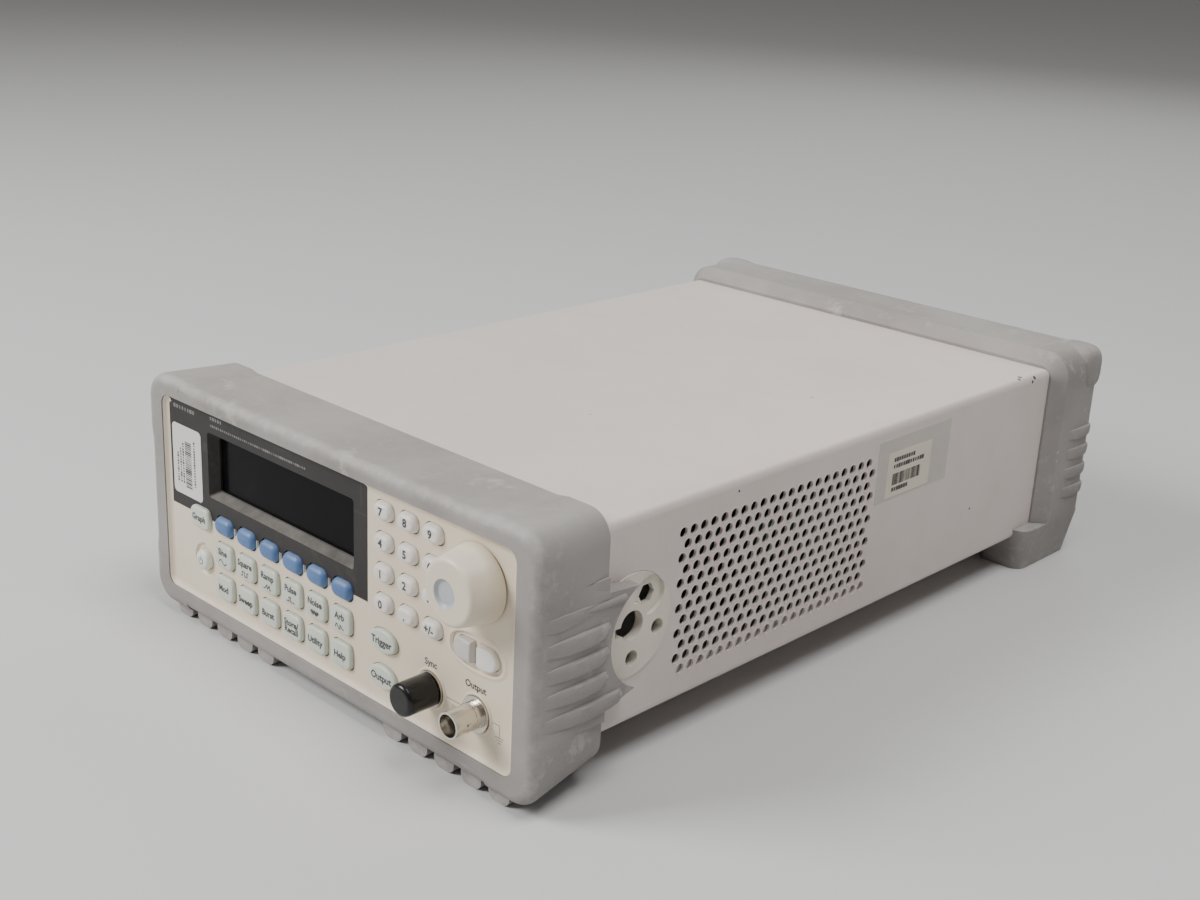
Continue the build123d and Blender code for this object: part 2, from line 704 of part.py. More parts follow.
# ---------------------------------------------------------------- rear bumper
rear_height = rear_top - rear_base
rear_mid = (rear_top + rear_base) / 2
with BuildPart() as rear_bumper:
    with BuildSketch(front_plane(rear_end, z=rear_mid)):
        RectangleRounded(2 * rear_half_width, rear_height, rear_corner_radius)
    extrude(amount=rear_end - seam_y)
    fillet(rear_bumper.faces().sort_by(Axis.Y)[-1].edges(), radius=rear_round)
    chamfer(rear_bumper.faces().sort_by(Axis.Y)[0].edges(), length=rear_slope - 0.4)
    # Feet under the rear corners, running forward below the sleeve
    for side in (-1, 1):
        foot_x = side * (rear_foot_inner + rear_half_width) / 2
        with BuildSketch(Plane.XY.offset(rear_base + rear_corner_radius)):
            with Locations((foot_x, (rear_foot_front + rear_end) / 2)):
                RectangleRounded(rear_half_width - rear_foot_inner, rear_end - rear_foot_front, 7.0)
        with BuildSketch(Plane.XY):
            with Locations((foot_x, (rear_foot_front + rear_end) / 2)):
                RectangleRounded(rear_half_width - rear_foot_inner - 6.0,
                                 rear_end - rear_foot_front - 8.0, 6.0)
        loft()
    # Seat for the sleeve, and the opening behind the rear panel
    with BuildSketch(front_plane(sleeve_rear + fixed_gap, z=sleeve_mid)):
        RectangleRounded(case_width + 2 * fixed_gap, sleeve_height + 2 * fixed_gap,
                         sleeve_edge_radius + fixed_gap)
    extrude(amount=sleeve_rear - rear_foot_front + 2 * fixed_gap, mode=Mode.SUBTRACT)
    with BuildSketch(front_plane(rear_end, z=sleeve_mid)):
        RectangleRounded(rear_opening_width, rear_opening_height, 5.0)
    extrude(amount=rear_end - sleeve_rear, mode=Mode.SUBTRACT)
save(rear_bumper.part, "rear_bumper")

# ---------------------------------------------------------------- rear panel
inner_width = case_width - 2 * sleeve_wall - 2 * fixed_gap
inner_height = sleeve_height - 2 * sleeve_wall - 2 * fixed_gap
grille_radius = fan_bore_radius - grille_hole / 2
grille_places = [
    (grille_pitch * (column + (row % 2) / 2), 0.866 * grille_pitch * row)
    for row in range(-5, 6) for column in range(-6, 7)
]
grille_places = [p for p in grille_places if p[0] ** 2 + p[1] ** 2 < grille_radius ** 2]

with BuildPart() as rear_panel:
    with BuildSketch(front_plane(sleeve_rear, z=sleeve_mid)):
        RectangleRounded(inner_width, inner_height, 1.5)
    extrude(amount=rear_wall)
    with BuildSketch(front_plane(sleeve_rear)):
        with Locations(*[(fan_at[0] + x, fan_at[1] + z) for x, z in grille_places]):
            Circle(grille_hole / 2)
        with Locations(fan_at):
            with GridLocations(fan_screw_spacing, fan_screw_spacing, 2, 2):
                Circle(screw_radius + fixed_gap)
        with Locations(inlet_at):
            Rectangle(inlet_body[0] + 2 * fixed_gap, inlet_body[1] + 2 * fixed_gap)
            with GridLocations(inlet_screw_spacing, 1.0, 2, 1):
                Circle(screw_radius + fixed_gap)
        with Locations(*rear_jacks_at):
            Circle(jack_thread_radius + fixed_gap)
        with Locations(gpib_at):
            Rectangle(gpib_size[0] - 14.0 + 2 * fixed_gap, gpib_size[1] - 5.0 + 2 * fixed_gap)
        with Locations(lan_at):
            Rectangle(lan_size[0] + 2 * fixed_gap, lan_size[1] + 2 * fixed_gap)
        with Locations(usb_at):
            Rectangle(usb_size[0] + 2 * fixed_gap, usb_size[1] + 2 * fixed_gap)
    extrude(amount=rear_wall, mode=Mode.SUBTRACT)
save(rear_panel.part, "rear_panel")

# ---------------------------------------------------------------- fan
fan_front = rear_face - fan_depth
motor_face = rear_face - fan_strut_wall - fixed_gap
rotor_back = motor_face - blade_gap
rotor_front = fan_front + blade_gap
rotor_length = rotor_back - rotor_front
with BuildPart() as fan_frame:
    with BuildSketch(front_plane(rear_face, *fan_at)):
        RectangleRounded(fan_size, fan_size, 3.0)
        Circle(fan_bore_radius, mode=Mode.SUBTRACT)
        with GridLocations(fan_screw_spacing, fan_screw_spacing, 2, 2):
            Circle(screw_radius + fixed_gap, mode=Mode.SUBTRACT)
    extrude(amount=fan_depth)
    with BuildSketch(front_plane(rear_face - fixed_gap, *fan_at)):
        Circle(fan_hub_radius)
        with PolarLocations((fan_hub_radius + fan_bore_radius) / 2, 3):
            Rectangle(fan_bore_radius - fan_hub_radius + 2.0, 4.0)
    extrude(amount=fan_strut_wall)
    with BuildSketch(front_plane(motor_face, *fan_at)):
        Circle(fan_pin_radius)
    extrude(amount=rotor_length)
save(fan_frame.part, "fan_frame")

blade_inner = fan_hub_radius - 1.0
blade_outer = fan_bore_radius - blade_gap
rotor_plane = front_plane((rotor_front + rotor_back) / 2, *fan_at)
with BuildPart(rotor_plane) as fan_rotor:
    with PolarLocations((blade_inner + blade_outer) / 2, fan_blade_count):
        Box(blade_outer - blade_inner + 2.0, fan_blade_wall, rotor_length + 4.0,
            rotation=(fan_blade_tilt, 0, 0))
    Cylinder(blade_outer, rotor_length, mode=Mode.INTERSECT)
    Cylinder(fan_hub_radius, rotor_length)
    with BuildSketch(front_plane(rotor_back, *fan_at)):
        Circle(fan_pin_radius + running_gap)
    extrude(amount=rotor_length - 0.5, mode=Mode.SUBTRACT)
save(fan_rotor.part, "fan_rotor")

# ---------------------------------------------------------------- power inlet and ports
with BuildPart() as power_inlet:
    with BuildSketch(front_plane(sleeve_rear + inlet_flange_wall, *inlet_at)):
        RectangleRounded(*inlet_flange, 3.0)
        with GridLocations(inlet_screw_spacing, 1.0, 2, 1):
            Circle(screw_radius + fixed_gap, mode=Mode.SUBTRACT)
    extrude(amount=inlet_flange_wall)
    with BuildSketch(front_plane(sleeve_rear, *inlet_at)):
        Rectangle(*inlet_body)
    extrude(amount=inlet_depth)
    with BuildSketch(front_plane(sleeve_rear + inlet_flange_wall, *inlet_at)):
        Rectangle(*inlet_cavity)
    extrude(amount=inlet_cavity_depth, mode=Mode.SUBTRACT)
    # Three flat contact pins on the cavity's floor
    with BuildSketch(front_plane(sleeve_rear + inlet_flange_wall - inlet_cavity_depth, *inlet_at)):
        with Locations((-7.0, -2.0), (7.0, -2.0), (0.0, 2.0)):
            Rectangle(2.0, 4.0)
    extrude(amount=-(inlet_cavity_depth - 5.0))
save(power_inlet.part, "power_inlet")

with BuildPart() as interface_ports:
    port_back = sleeve_rear + port_proud
    for place, size, cavity in ((lan_at, lan_size, (11.8, 8.2)), (usb_at, usb_size, (8.6, 7.9))):
        with BuildSketch(front_plane(port_back, *place)):
            Rectangle(*size)
        extrude(amount=port_depth)
        with BuildSketch(front_plane(port_back, *place)):
            Rectangle(*cavity)
        extrude(amount=port_depth - 3.0, mode=Mode.SUBTRACT)
    with BuildSketch(front_plane(sleeve_rear + 2.4, *gpib_at)):
        RectangleRounded(gpib_size[0] + 14.0, gpib_size[1], 3.0)
    extrude(amount=2.4)
    with BuildSketch(front_plane(sleeve_rear + 8.0, *gpib_at)):
        RectangleRounded(gpib_size[0] - 8.0, gpib_size[1] - 3.5, 3.0)
    extrude(amount=8.0)
    with BuildSketch(front_plane(sleeve_rear + 8.0, *gpib_at)):
        RectangleRounded(gpib_size[0] - 11.0, gpib_size[1] - 6.5, 2.0)
        Rectangle(gpib_size[0] - 16.0, 2.4, mode=Mode.SUBTRACT)
    extrude(amount=6.0, mode=Mode.SUBTRACT)
    with BuildSketch(front_plane(sleeve_rear, *gpib_at)):
        Rectangle(gpib_size[0] - 14.0, gpib_size[1] - 5.0)
    extrude(amount=6.0)
save(interface_ports.part, "interface_ports")

# ---------------------------------------------------------------- tray and boards
tray_floor = sleeve_base + sleeve_wall + fixed_gap
tray_top = tray_floor + tray_wall
board_base = tray_top + standoff_height
board_top = board_base + board_wall
tray_half = inner_width / 2
tray_rear = rear_face - fixed_gap


def corner_holes(span_x, span_y):
    """Screw places at a board's corners and the middle of its long sides."""
    xs = (span_x[0] + board_margin, span_x[1] - board_margin)
    ys = (span_y[0] + board_margin, (span_y[0] + span_y[1]) / 2, span_y[1] - board_margin)
    return [(x, y) for x in xs for y in ys]


board_screws = corner_holes(main_board_x, main_board_y) + corner_holes(supply_x, supply_y)

with BuildPart() as chassis_tray:
    box_between((-tray_half, tray_front, tray_floor), (tray_half, tray_rear, tray_top))
    for side in (-1, 1):
        edges = sorted((side * tray_half, side * (tray_half - tray_wall)))
        box_between((edges[0], tray_front, tray_floor), (edges[1], tray_rear, tray_floor + tray_side_height))
    fillet(chassis_tray.edges().filter_by(Axis.Y).group_by(Axis.Z)[0], radius=sleeve_edge_radius - sleeve_wall)
    with BuildSketch(Plane.XY.offset(tray_top)):
        with Locations(*board_screws):
            Circle(standoff_radius)
            Circle(screw_radius + fixed_gap, mode=Mode.SUBTRACT)
    extrude(amount=standoff_height)
save(chassis_tray.part, "chassis_tray")


def board_slab(span_x, span_y):
    """A circuit board on its standoffs, drilled for its screws."""
    box_between((span_x[0], span_y[0], board_base), (span_x[1], span_y[1], board_top))
    with Locations(*[(x, y, (board_base + board_top) / 2) for x, y in corner_holes(span_x, span_y)]):
        Cylinder(screw_radius + fixed_gap, 2 * board_wall, mode=Mode.SUBTRACT)


with BuildPart() as circuit_boards:
    board_slab(main_board_x, main_board_y)
    # Shield can, processor, memory, converters and the output amplifier's heat sink
    box_between((-84.0, ridge_y + 86.0, board_top), (-34.0, ridge_y + 146.0, board_top + 9.0))
    for x, y, width, depth, height in (
        (-58.0, 110.0, 28.0, 28.0, 3.0), (-20.0, 110.0, 20.0, 14.0, 2.4), (-20.0, 86.0, 20.0, 14.0, 2.4),
        (-12.0, 190.0, 24.0, 30.0, 16.0), (-66.0, 60.0, 16.0, 16.0, 2.4), (-30.0, 38.0, 30.0, 12.0, 6.0),
    ):
        box_between((x - width / 2, board_rear - y - depth / 2, board_top),
                    (x + width / 2, board_rear - y + depth / 2, board_top + height))
    with BuildSketch(Plane.XY.offset(board_top)):
        with Locations(*[(-86.0 + 12.0 * i, board_rear - 24.0) for i in range(4)]):
            Circle(4.0)
    extrude(amount=12.0)
    # Power supply: transformer, heat sink with fins, and filter capacitors
    board_slab(supply_x, supply_y)
    box_between((34.0, board_rear - 100.0, board_top), (70.0, board_rear - 60.0, board_top + 30.0))
    box_between((78.0, board_rear - 124.0, board_top), (81.0, board_rear - 30.0, board_top + 34.0))
    for i in range(8):
        fin_y = board_rear - 122.0 + 12.8 * i
        box_between((81.0, fin_y, board_top), (92.0, fin_y + 1.6, board_top + 34.0))
    with BuildSketch(Plane.XY.offset(board_top)):
        with Locations((44.0, board_rear - 124.0), (64.0, board_rear - 124.0)):
            Circle(9.0)
    extrude(amount=26.0)
    box_between((38.0, board_rear - 38.0, board_top), (66.0, board_rear - 22.0, board_top + 18.0))
save(circuit_boards.part, "circuit_boards")


# ---------------------------------------------------------------- fasteners
def screw(plane, held):
    """A pan head screw seated on a plane; its shank runs against the normal."""
    with Locations(plane):
        Cylinder(screw_head_radius, screw_head_height, align=(Align.CENTER, Align.CENTER, Align.MIN))
        Cylinder(screw_radius, held + screw_bite, align=(Align.CENTER, Align.CENTER, Align.MAX))


with BuildPart() as fasteners:
    for x, y in board_screws:
        screw(Plane(origin=(x, y, board_top)), board_wall)
    for x, z in panel_posts:
        screw(Plane(origin=(x, board_back, z), x_dir=(-1, 0, 0), z_dir=(0, 1, 0)), board_wall)
    for sx in (-0.5, 0.5):
        for sz in (-0.5, 0.5):
            spot = (fan_at[0] + sx * fan_screw_spacing, sleeve_rear, fan_at[1] + sz * fan_screw_spacing)
            screw(Plane(origin=spot, x_dir=(-1, 0, 0), z_dir=(0, 1, 0)), rear_wall)
        spot = (inlet_at[0] + sx * inlet_screw_spacing, sleeve_rear + inlet_flange_wall, inlet_at[1])
        screw(Plane(origin=spot, x_dir=(-1, 0, 0), z_dir=(0, 1, 0)), inlet_flange_wall + rear_wall)
    # Hexagon nuts on the sockets' threads, against the panels' inner faces
    for face, place, way in sockets:
        wall = panel_wall if way == 1 else rear_wall
        with BuildSketch(front_plane(face + way * wall, *place)):
            RegularPolygon(nut_radius, 6)
            Circle(jack_thread_radius + running_gap, mode=Mode.SUBTRACT)
        extrude(amount=-way * nut_wall)
save(fasteners.part, "fasteners")
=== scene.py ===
import json
import logging
import math
from dataclasses import dataclass, field
from enum import Enum
from typing import Callable, Iterable, Optional, Sequence

import bmesh
import bpy
from mathutils import Matrix, Vector
from mathutils.bvhtree import BVHTree

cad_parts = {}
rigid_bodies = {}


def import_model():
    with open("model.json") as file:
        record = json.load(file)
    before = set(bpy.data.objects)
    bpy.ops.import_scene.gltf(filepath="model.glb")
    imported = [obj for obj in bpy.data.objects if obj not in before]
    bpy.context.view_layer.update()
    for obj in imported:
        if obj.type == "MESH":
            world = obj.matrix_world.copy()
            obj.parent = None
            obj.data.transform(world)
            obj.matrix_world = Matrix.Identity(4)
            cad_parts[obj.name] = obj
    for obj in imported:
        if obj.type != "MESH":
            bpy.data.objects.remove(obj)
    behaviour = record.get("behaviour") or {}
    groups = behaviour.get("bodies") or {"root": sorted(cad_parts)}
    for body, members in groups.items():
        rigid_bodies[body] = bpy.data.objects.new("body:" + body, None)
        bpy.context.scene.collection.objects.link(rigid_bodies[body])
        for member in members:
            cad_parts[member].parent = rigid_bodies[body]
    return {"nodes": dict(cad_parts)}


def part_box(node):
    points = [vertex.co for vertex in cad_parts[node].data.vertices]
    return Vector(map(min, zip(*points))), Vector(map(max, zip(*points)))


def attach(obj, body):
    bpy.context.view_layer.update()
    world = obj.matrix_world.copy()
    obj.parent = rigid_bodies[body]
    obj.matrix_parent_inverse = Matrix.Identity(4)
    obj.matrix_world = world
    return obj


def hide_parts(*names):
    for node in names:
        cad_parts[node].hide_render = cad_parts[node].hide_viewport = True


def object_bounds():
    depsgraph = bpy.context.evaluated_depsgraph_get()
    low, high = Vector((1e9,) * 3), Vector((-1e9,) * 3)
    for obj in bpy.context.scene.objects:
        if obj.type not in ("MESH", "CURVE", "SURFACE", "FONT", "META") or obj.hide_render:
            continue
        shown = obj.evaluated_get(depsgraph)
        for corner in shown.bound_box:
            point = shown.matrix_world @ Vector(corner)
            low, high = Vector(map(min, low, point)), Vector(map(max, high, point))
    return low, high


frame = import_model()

CAD_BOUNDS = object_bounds()
MM = 0.001
BUMPER_FACE = -0.177
PRINT_THICK = 0.03 * MM
PANEL_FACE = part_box("front_panel")[0].y
LOG = logging.getLogger("function_generator")

Point = tuple[float, float]
Colour = tuple[float, float, float]
Point3 = tuple[float, float, float]
Ring = list[Point3]


# ---------------------------------------------------------------- shader wiring
class Wiring:
    """Short hand for adding, setting and joining the nodes of one tree."""

    def __init__(self, tree: bpy.types.NodeTree) -> None:
        """Keep the tree.

        Args:
            tree: The shader or geometry tree that nodes are added to.
        """
        self.tree = tree

    def add(self, kind: str, **settings: object) -> bpy.types.Node:
        """Add a node.

        Args:
            kind: The node's type name.
            **settings: Attributes to set on the new node.

        Returns:
            The node.
        """
        node = self.tree.nodes.new(kind)
        for name, value in settings.items():
            setattr(node, name, value)
        return node

    def feed(self, socket: bpy.types.NodeSocket, value: object) -> None:
        """Join a socket to another one, or set its constant.

        Args:
            socket: The input to feed.
            value: An output socket, or a number, vector, colour or data block.
        """
        if isinstance(value, bpy.types.NodeSocket):
            self.tree.links.new(value, socket)
        else:
            socket.default_value = value

    def made(self, kind: str, inputs: dict, out: object = 0, **settings: object) -> bpy.types.NodeSocket:
        """Add a node and feed it.

        Args:
            kind: The node's type name.
            inputs: What feeds each input, by the input's name or number.
            out: The name or number of the output that is wanted.
            **settings: Attributes to set on the new node.

        Returns:
            That output's socket.
        """
        node = self.add(kind, **settings)
        for key, value in inputs.items():
            self.feed(node.inputs[key], value)
        return node.outputs[out]

    def math(self, operation: str, *values: object, clamp: bool = False) -> bpy.types.NodeSocket:
        """Add a Math node.

        Args:
            operation: The Math node's operation.
            *values: Its inputs, in order.
            clamp: Whether the result is held between 0 and 1.

        Returns:
            The result's socket.
        """
        return self.made("ShaderNodeMath", dict(enumerate(values)), operation=operation, use_clamp=clamp)

    def vector(self, operation: str, *values: object, out: str = "Vector") -> bpy.types.NodeSocket:
        """Add a Vector Math node.

        Args:
            operation: The node's operation.
            *values: Its inputs, in order.
            out: The output that is wanted.

        Returns:
            That output's socket.
        """
        return self.made("ShaderNodeVectorMath", dict(enumerate(values)), out, operation=operation)

    def remap(self, value: object, low: float, high: float,
              to_low: float = 0.0, to_high: float = 1.0) -> bpy.types.NodeSocket:
        """Stretch a value smoothly from one range to another.

        Args:
            value: The value's socket.
            low: Where the result is to_low.
            high: Where the result is to_high.
            to_low: The result at low.
            to_high: The result at high.

        Returns:
            The result's socket.
        """
        ends = {"Value": value, "From Min": low, "From Max": high, "To Min": to_low, "To Max": to_high}
        return self.made("ShaderNodeMapRange", ends, interpolation_type="SMOOTHSTEP")

    def mix(self, factor: object, first: object, second: object) -> bpy.types.NodeSocket:
        """Blend two colours.

        Args:
            factor: How much of the second shows.
            first: A colour or its socket.
            second: A colour or its socket.

        Returns:
            The blended colour's socket.
        """
        pair = [(*c, 1.0) if isinstance(c, tuple) else c for c in (first, second)]
        return self.made("ShaderNodeMix", {0: factor, 6: pair[0], 7: pair[1]}, 2, data_type="RGBA")

    def noise(self, place: object, scale: object, detail: float = 3.0,
              roughness: float = 0.55) -> bpy.types.NodeSocket:
        """Add a noise pattern.

        Args:
            place: The coordinates' socket.
            scale: Cells per metre, or their socket.
            detail: Octaves.
            roughness: How much the finer octaves count.

        Returns:
            The pattern's value, about 0.5 in the middle.
        """
        return self.made("ShaderNodeTexNoise", {"Vector": place, "Scale": scale, "Detail": detail,
                                                "Roughness": roughness}, "Fac",
                         noise_dimensions="3D", normalize=True)

    def apart(self, vector: object) -> bpy.types.NodeOutputs:
        """Split a vector; the outputs are X, Y and Z."""
        return self.made("ShaderNodeSeparateXYZ", {0: vector}).node.outputs


class EffectGroups:
    """Shader groups for the effects that several finishes share."""

    def __init__(self) -> None:
        """Build each group once."""
        self.grain = self._grain()
        self.scuffs = self._scuffs()
        self.dust = self._dust()
        self.edge_rub = self._edge_rub()

    @staticmethod
    def _start(name: str, inputs: Sequence[tuple[str, str]],
               outputs: Sequence[str]) -> tuple[Wiring, bpy.types.Node, bpy.types.Node]:
        """Make an empty group.

        Args:
            name: The group's name.
            inputs: Each input's name and socket type.
            outputs: The names of the float outputs.

        Returns:
            Its wiring, its input node and its output node.
        """
        tree = bpy.data.node_groups.new(name, "ShaderNodeTree")
        for label, kind in inputs:
            tree.interface.new_socket(label, in_out="INPUT", socket_type=kind)
        for label in outputs:
            tree.interface.new_socket(label, in_out="OUTPUT", socket_type="NodeSocketFloat")
        wiring = Wiring(tree)
        return wiring, wiring.add("NodeGroupInput"), wiring.add("NodeGroupOutput")

    def _grain(self) -> bpy.types.NodeTree:
        """Build the fine texture of a moulded or powder coated surface.

        Returns:
            The group: Height for a bump, and Speckle as a mask.
        """
        w, into, out = self._start("fine_grain", (("Vector", "NodeSocketVector"), ("Cells", "NodeSocketFloat")),
                                   ("Height", "Speckle"))
        place, size = into.outputs["Vector"], into.outputs["Cells"]
        fine = w.noise(place, size, 2.0, 0.6)
        cells = w.made("ShaderNodeTexVoronoi", {"Vector": place, "Scale": size}, "Distance", feature="SMOOTH_F1")
        w.feed(out.inputs["Height"], w.math("MULTIPLY_ADD", cells, 0.6, fine))
        w.feed(out.inputs["Speckle"], w.remap(fine, 0.58, 0.78))
        return w.tree

    def _scuffs(self) -> bpy.types.NodeTree:
        """Build rub marks, thin scratches and wide blotches.

        Returns:
            The group: Scratch, Rub and Blotch masks.
        """
        w, into, out = self._start("scuffs", (("Vector", "NodeSocketVector"), ("Amount", "NodeSocketFloat")),
                                   ("Scratch", "Rub", "Blotch"))
        place = into.outputs["Vector"]
        marks = None
        for turn, stretch in ((0.5, (26.0, 700.0, 26.0)), (-0.9, (700.0, 34.0, 60.0)), (1.3, (60.0, 30.0, 640.0))):
            drawn = w.made("ShaderNodeMapping", {"Vector": place, "Rotation": (turn * 0.4, turn * 0.3, turn),
                                                 "Scale": stretch}, vector_type="POINT")
            line = w.remap(w.noise(drawn, 1.0, 1.0, 0.4), 0.70, 0.76)
            marks = line if marks is None else w.math("MAXIMUM", marks, line)
        patch = w.remap(w.noise(place, 38.0, 3.0, 0.6), 0.50, 0.66)
        rubbed = w.remap(w.noise(place, 64.0, 5.0, 0.68), 0.55, 0.74)
        for name, mask in (("Scratch", w.math("MULTIPLY", marks, patch)), ("Rub", rubbed)):
            w.feed(out.inputs[name], w.math("MULTIPLY", mask, into.outputs["Amount"], clamp=True))
        w.feed(out.inputs["Blotch"], w.noise(place, 16.0, 4.0, 0.6))
        return w.tree

    def _dust(self) -> bpy.types.NodeTree:
        """Build the dust that settles on faces that look upwards.

        Returns:
            The group: a Mask.
        """
        w, into, out = self._start("settled_dust", (("Vector", "NodeSocketVector"), ("Amount", "NodeSocketFloat")),
                                   ("Mask",))
        facing = w.remap(w.apart(w.made("ShaderNodeNewGeometry", {}, "Normal"))["Z"], 0.25, 0.95)
        patchy = w.math("MULTIPLY_ADD", w.noise(into.outputs["Vector"], 90.0, 6.0, 0.7), 1.1, -0.1)
        w.feed(out.inputs["Mask"], w.math("MULTIPLY", w.math("MULTIPLY", facing, patchy),
                                          into.outputs["Amount"], clamp=True))
        return w.tree

    def _edge_rub(self) -> bpy.types.NodeTree:
        """Build wear along the outer edges of a box shaped piece.

        Returns:
            The group: a Mask.
        """
        w, into, out = self._start(
            "edge_rub", (("Vector", "NodeSocketVector"), ("Centre", "NodeSocketVector"), ("Half", "NodeSocketVector"),
                         ("Width", "NodeSocketFloat"), ("Amount", "NodeSocketFloat")), ("Mask",))
        away = w.vector("ABSOLUTE", w.vector("SUBTRACT", into.outputs["Vector"], into.outputs["Centre"]))
        inside = w.vector("SUBTRACT", into.outputs["Half"], away)
        x, y, z = w.apart(inside)
        low = w.math("MINIMUM", x, y)
        high = w.math("MAXIMUM", x, y)
        second = w.math("MAXIMUM", low, w.math("MINIMUM", high, z))
        near = w.math("DIVIDE", second, into.outputs["Width"])
        ragged = w.math("MULTIPLY_ADD", w.noise(into.outputs["Vector"], 150.0, 5.0, 0.7), 2.4, -0.9)
        worn = w.remap(w.math("SUBTRACT", ragged, near), -0.5, 0.5)
        w.feed(out.inputs["Mask"], w.math("MULTIPLY", worn, into.outputs["Amount"], clamp=True))
        return w.tree


EFFECTS = EffectGroups()


# ---------------------------------------------------------------- finishes
@dataclass(frozen=True)
class Finish:
    """A moulded, painted or plated surface with grain, wear and dust."""

    name: str
    colour: Colour
    shade: Colour
    roughness: float = 0.5
    roughness_spread: float = 0.12
    cells: float = 1800.0
    bump: float = 0.08
    bump_distance: float = 0.0002
    speckle: float = 0.1
    scuff: float = 0.3
    dust: float = 0.25
    dust_colour: Colour = (0.62, 0.58, 0.52)
    rub_colour: Colour = (0.5, 0.48, 0.46)
    metallic: float = 0.0
    specular: float = 0.5
    coat: float = 0.0
    subsurface: float = 0.0
    edge: Optional[str] = None
    edge_width: float = 0.006

    def group(self, w: Wiring, tree: bpy.types.NodeTree, **values: object) -> bpy.types.Node:
        """Place an effect group.

        Args:
            w: The material's wiring.
            tree: The group's tree.
            **values: What feeds each input, by name.

        Returns:
            The group's node.
        """
        node = w.add("ShaderNodeGroup")
        node.node_tree = tree
        for label, value in values.items():
            w.feed(node.inputs[label], value)
        return node

    def recolour(self, w: Wiring, place: bpy.types.NodeSocket,
                 colour: bpy.types.NodeSocket) -> bpy.types.NodeSocket:
        """Change the colour at chosen spots; this one leaves it alone."""
        return colour

    def material(self) -> bpy.types.Material:
        """Build the material.

        Returns:
            The material, or the one already made under this name.
        """
        made = bpy.data.materials.get(self.name)
        if made is not None:
            return made
        material = bpy.data.materials.new(self.name)
        material.use_nodes = True
        material.node_tree.nodes.clear()
        w = Wiring(material.node_tree)
        place = w.add("ShaderNodeTexCoord").outputs["Object"]
        grain = self.group(w, EFFECTS.grain, Vector=place, Cells=self.cells)
        scuffs = self.group(w, EFFECTS.scuffs, Vector=place, Amount=self.scuff)
        colour = w.mix(w.remap(scuffs.outputs["Blotch"], 0.35, 0.68), self.colour, self.shade)
        colour = w.mix(w.math("MULTIPLY", grain.outputs["Speckle"], self.speckle), colour, self.rub_colour)
        colour = w.mix(scuffs.outputs["Rub"], colour, self.rub_colour)
        colour = self.recolour(w, place, colour)
        if self.edge:
            low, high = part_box(self.edge)
            rub = self.group(w, EFFECTS.edge_rub, Vector=place, Centre=(low + high) / 2, Half=(high - low) / 2,
                             Width=self.edge_width, Amount=0.7)
            colour = w.mix(rub.outputs["Mask"], colour, self.rub_colour)
        colour = w.mix(w.math("MULTIPLY", scuffs.outputs["Scratch"], 0.55), colour, self.rub_colour)
        dust = self.group(w, EFFECTS.dust, Vector=place, Amount=self.dust)
        colour = w.mix(dust.outputs["Mask"], colour, self.dust_colour)
        rough = w.math("MULTIPLY_ADD", scuffs.outputs["Blotch"], self.roughness_spread * 2.0,
                       self.roughness - self.roughness_spread)
        rough = w.math("MULTIPLY_ADD", dust.outputs["Mask"], 0.25, rough, clamp=True)
        height = w.math("SUBTRACT", grain.outputs["Height"], scuffs.outputs["Scratch"])
        normal = w.made("ShaderNodeBump", {"Strength": self.bump, "Distance": self.bump_distance,
                                           "Height": height}, "Normal")
        inputs = {"Base Color": colour, "Roughness": rough, "Normal": normal, "Metallic": self.metallic,
                  "Specular IOR Level": self.specular, "Coat Weight": self.coat, "Coat Roughness": 0.12}
        if self.subsurface:
            inputs.update({"Subsurface Weight": self.subsurface, "Subsurface Radius": (0.002, 0.002, 0.0018),
                           "Subsurface Scale": 1.0})
        shader = w.made("ShaderNodeBsdfPrincipled", inputs)
        w.feed(w.add("ShaderNodeOutputMaterial").inputs["Surface"], shader)
        return material


@dataclass(frozen=True)
class SpottedFinish(Finish):
    """A finish with a few small spots of another colour at known places."""

    spots: tuple[tuple[float, float, float, float], ...] = ()
    spot_colour: Colour = (0.05, 0.045, 0.04)
    spot_ragged: float = 0.6

    def recolour(self, w: Wiring, place: bpy.types.NodeSocket,
                 colour: bpy.types.NodeSocket) -> bpy.types.NodeSocket:
        """Paint the spots.

        Args:
            w: The material's wiring.
            place: The coordinates' socket.
            colour: The colour so far.

        Returns:
            The colour with its spots.
        """
        for x, y, z, radius in self.spots:
            far = w.vector("LENGTH", w.vector("SUBTRACT", place, (x, y, z)), out="Value")
            ragged = w.math("MULTIPLY", w.math("SUBTRACT", w.noise(place, 420.0, 4.0, 0.7), 0.5),
                            self.spot_ragged * radius * 2.0)
            near = w.remap(w.math("ADD", far, ragged), radius * 1.05, radius * 0.95)
            colour = w.mix(near, colour, self.spot_colour)
        return colour


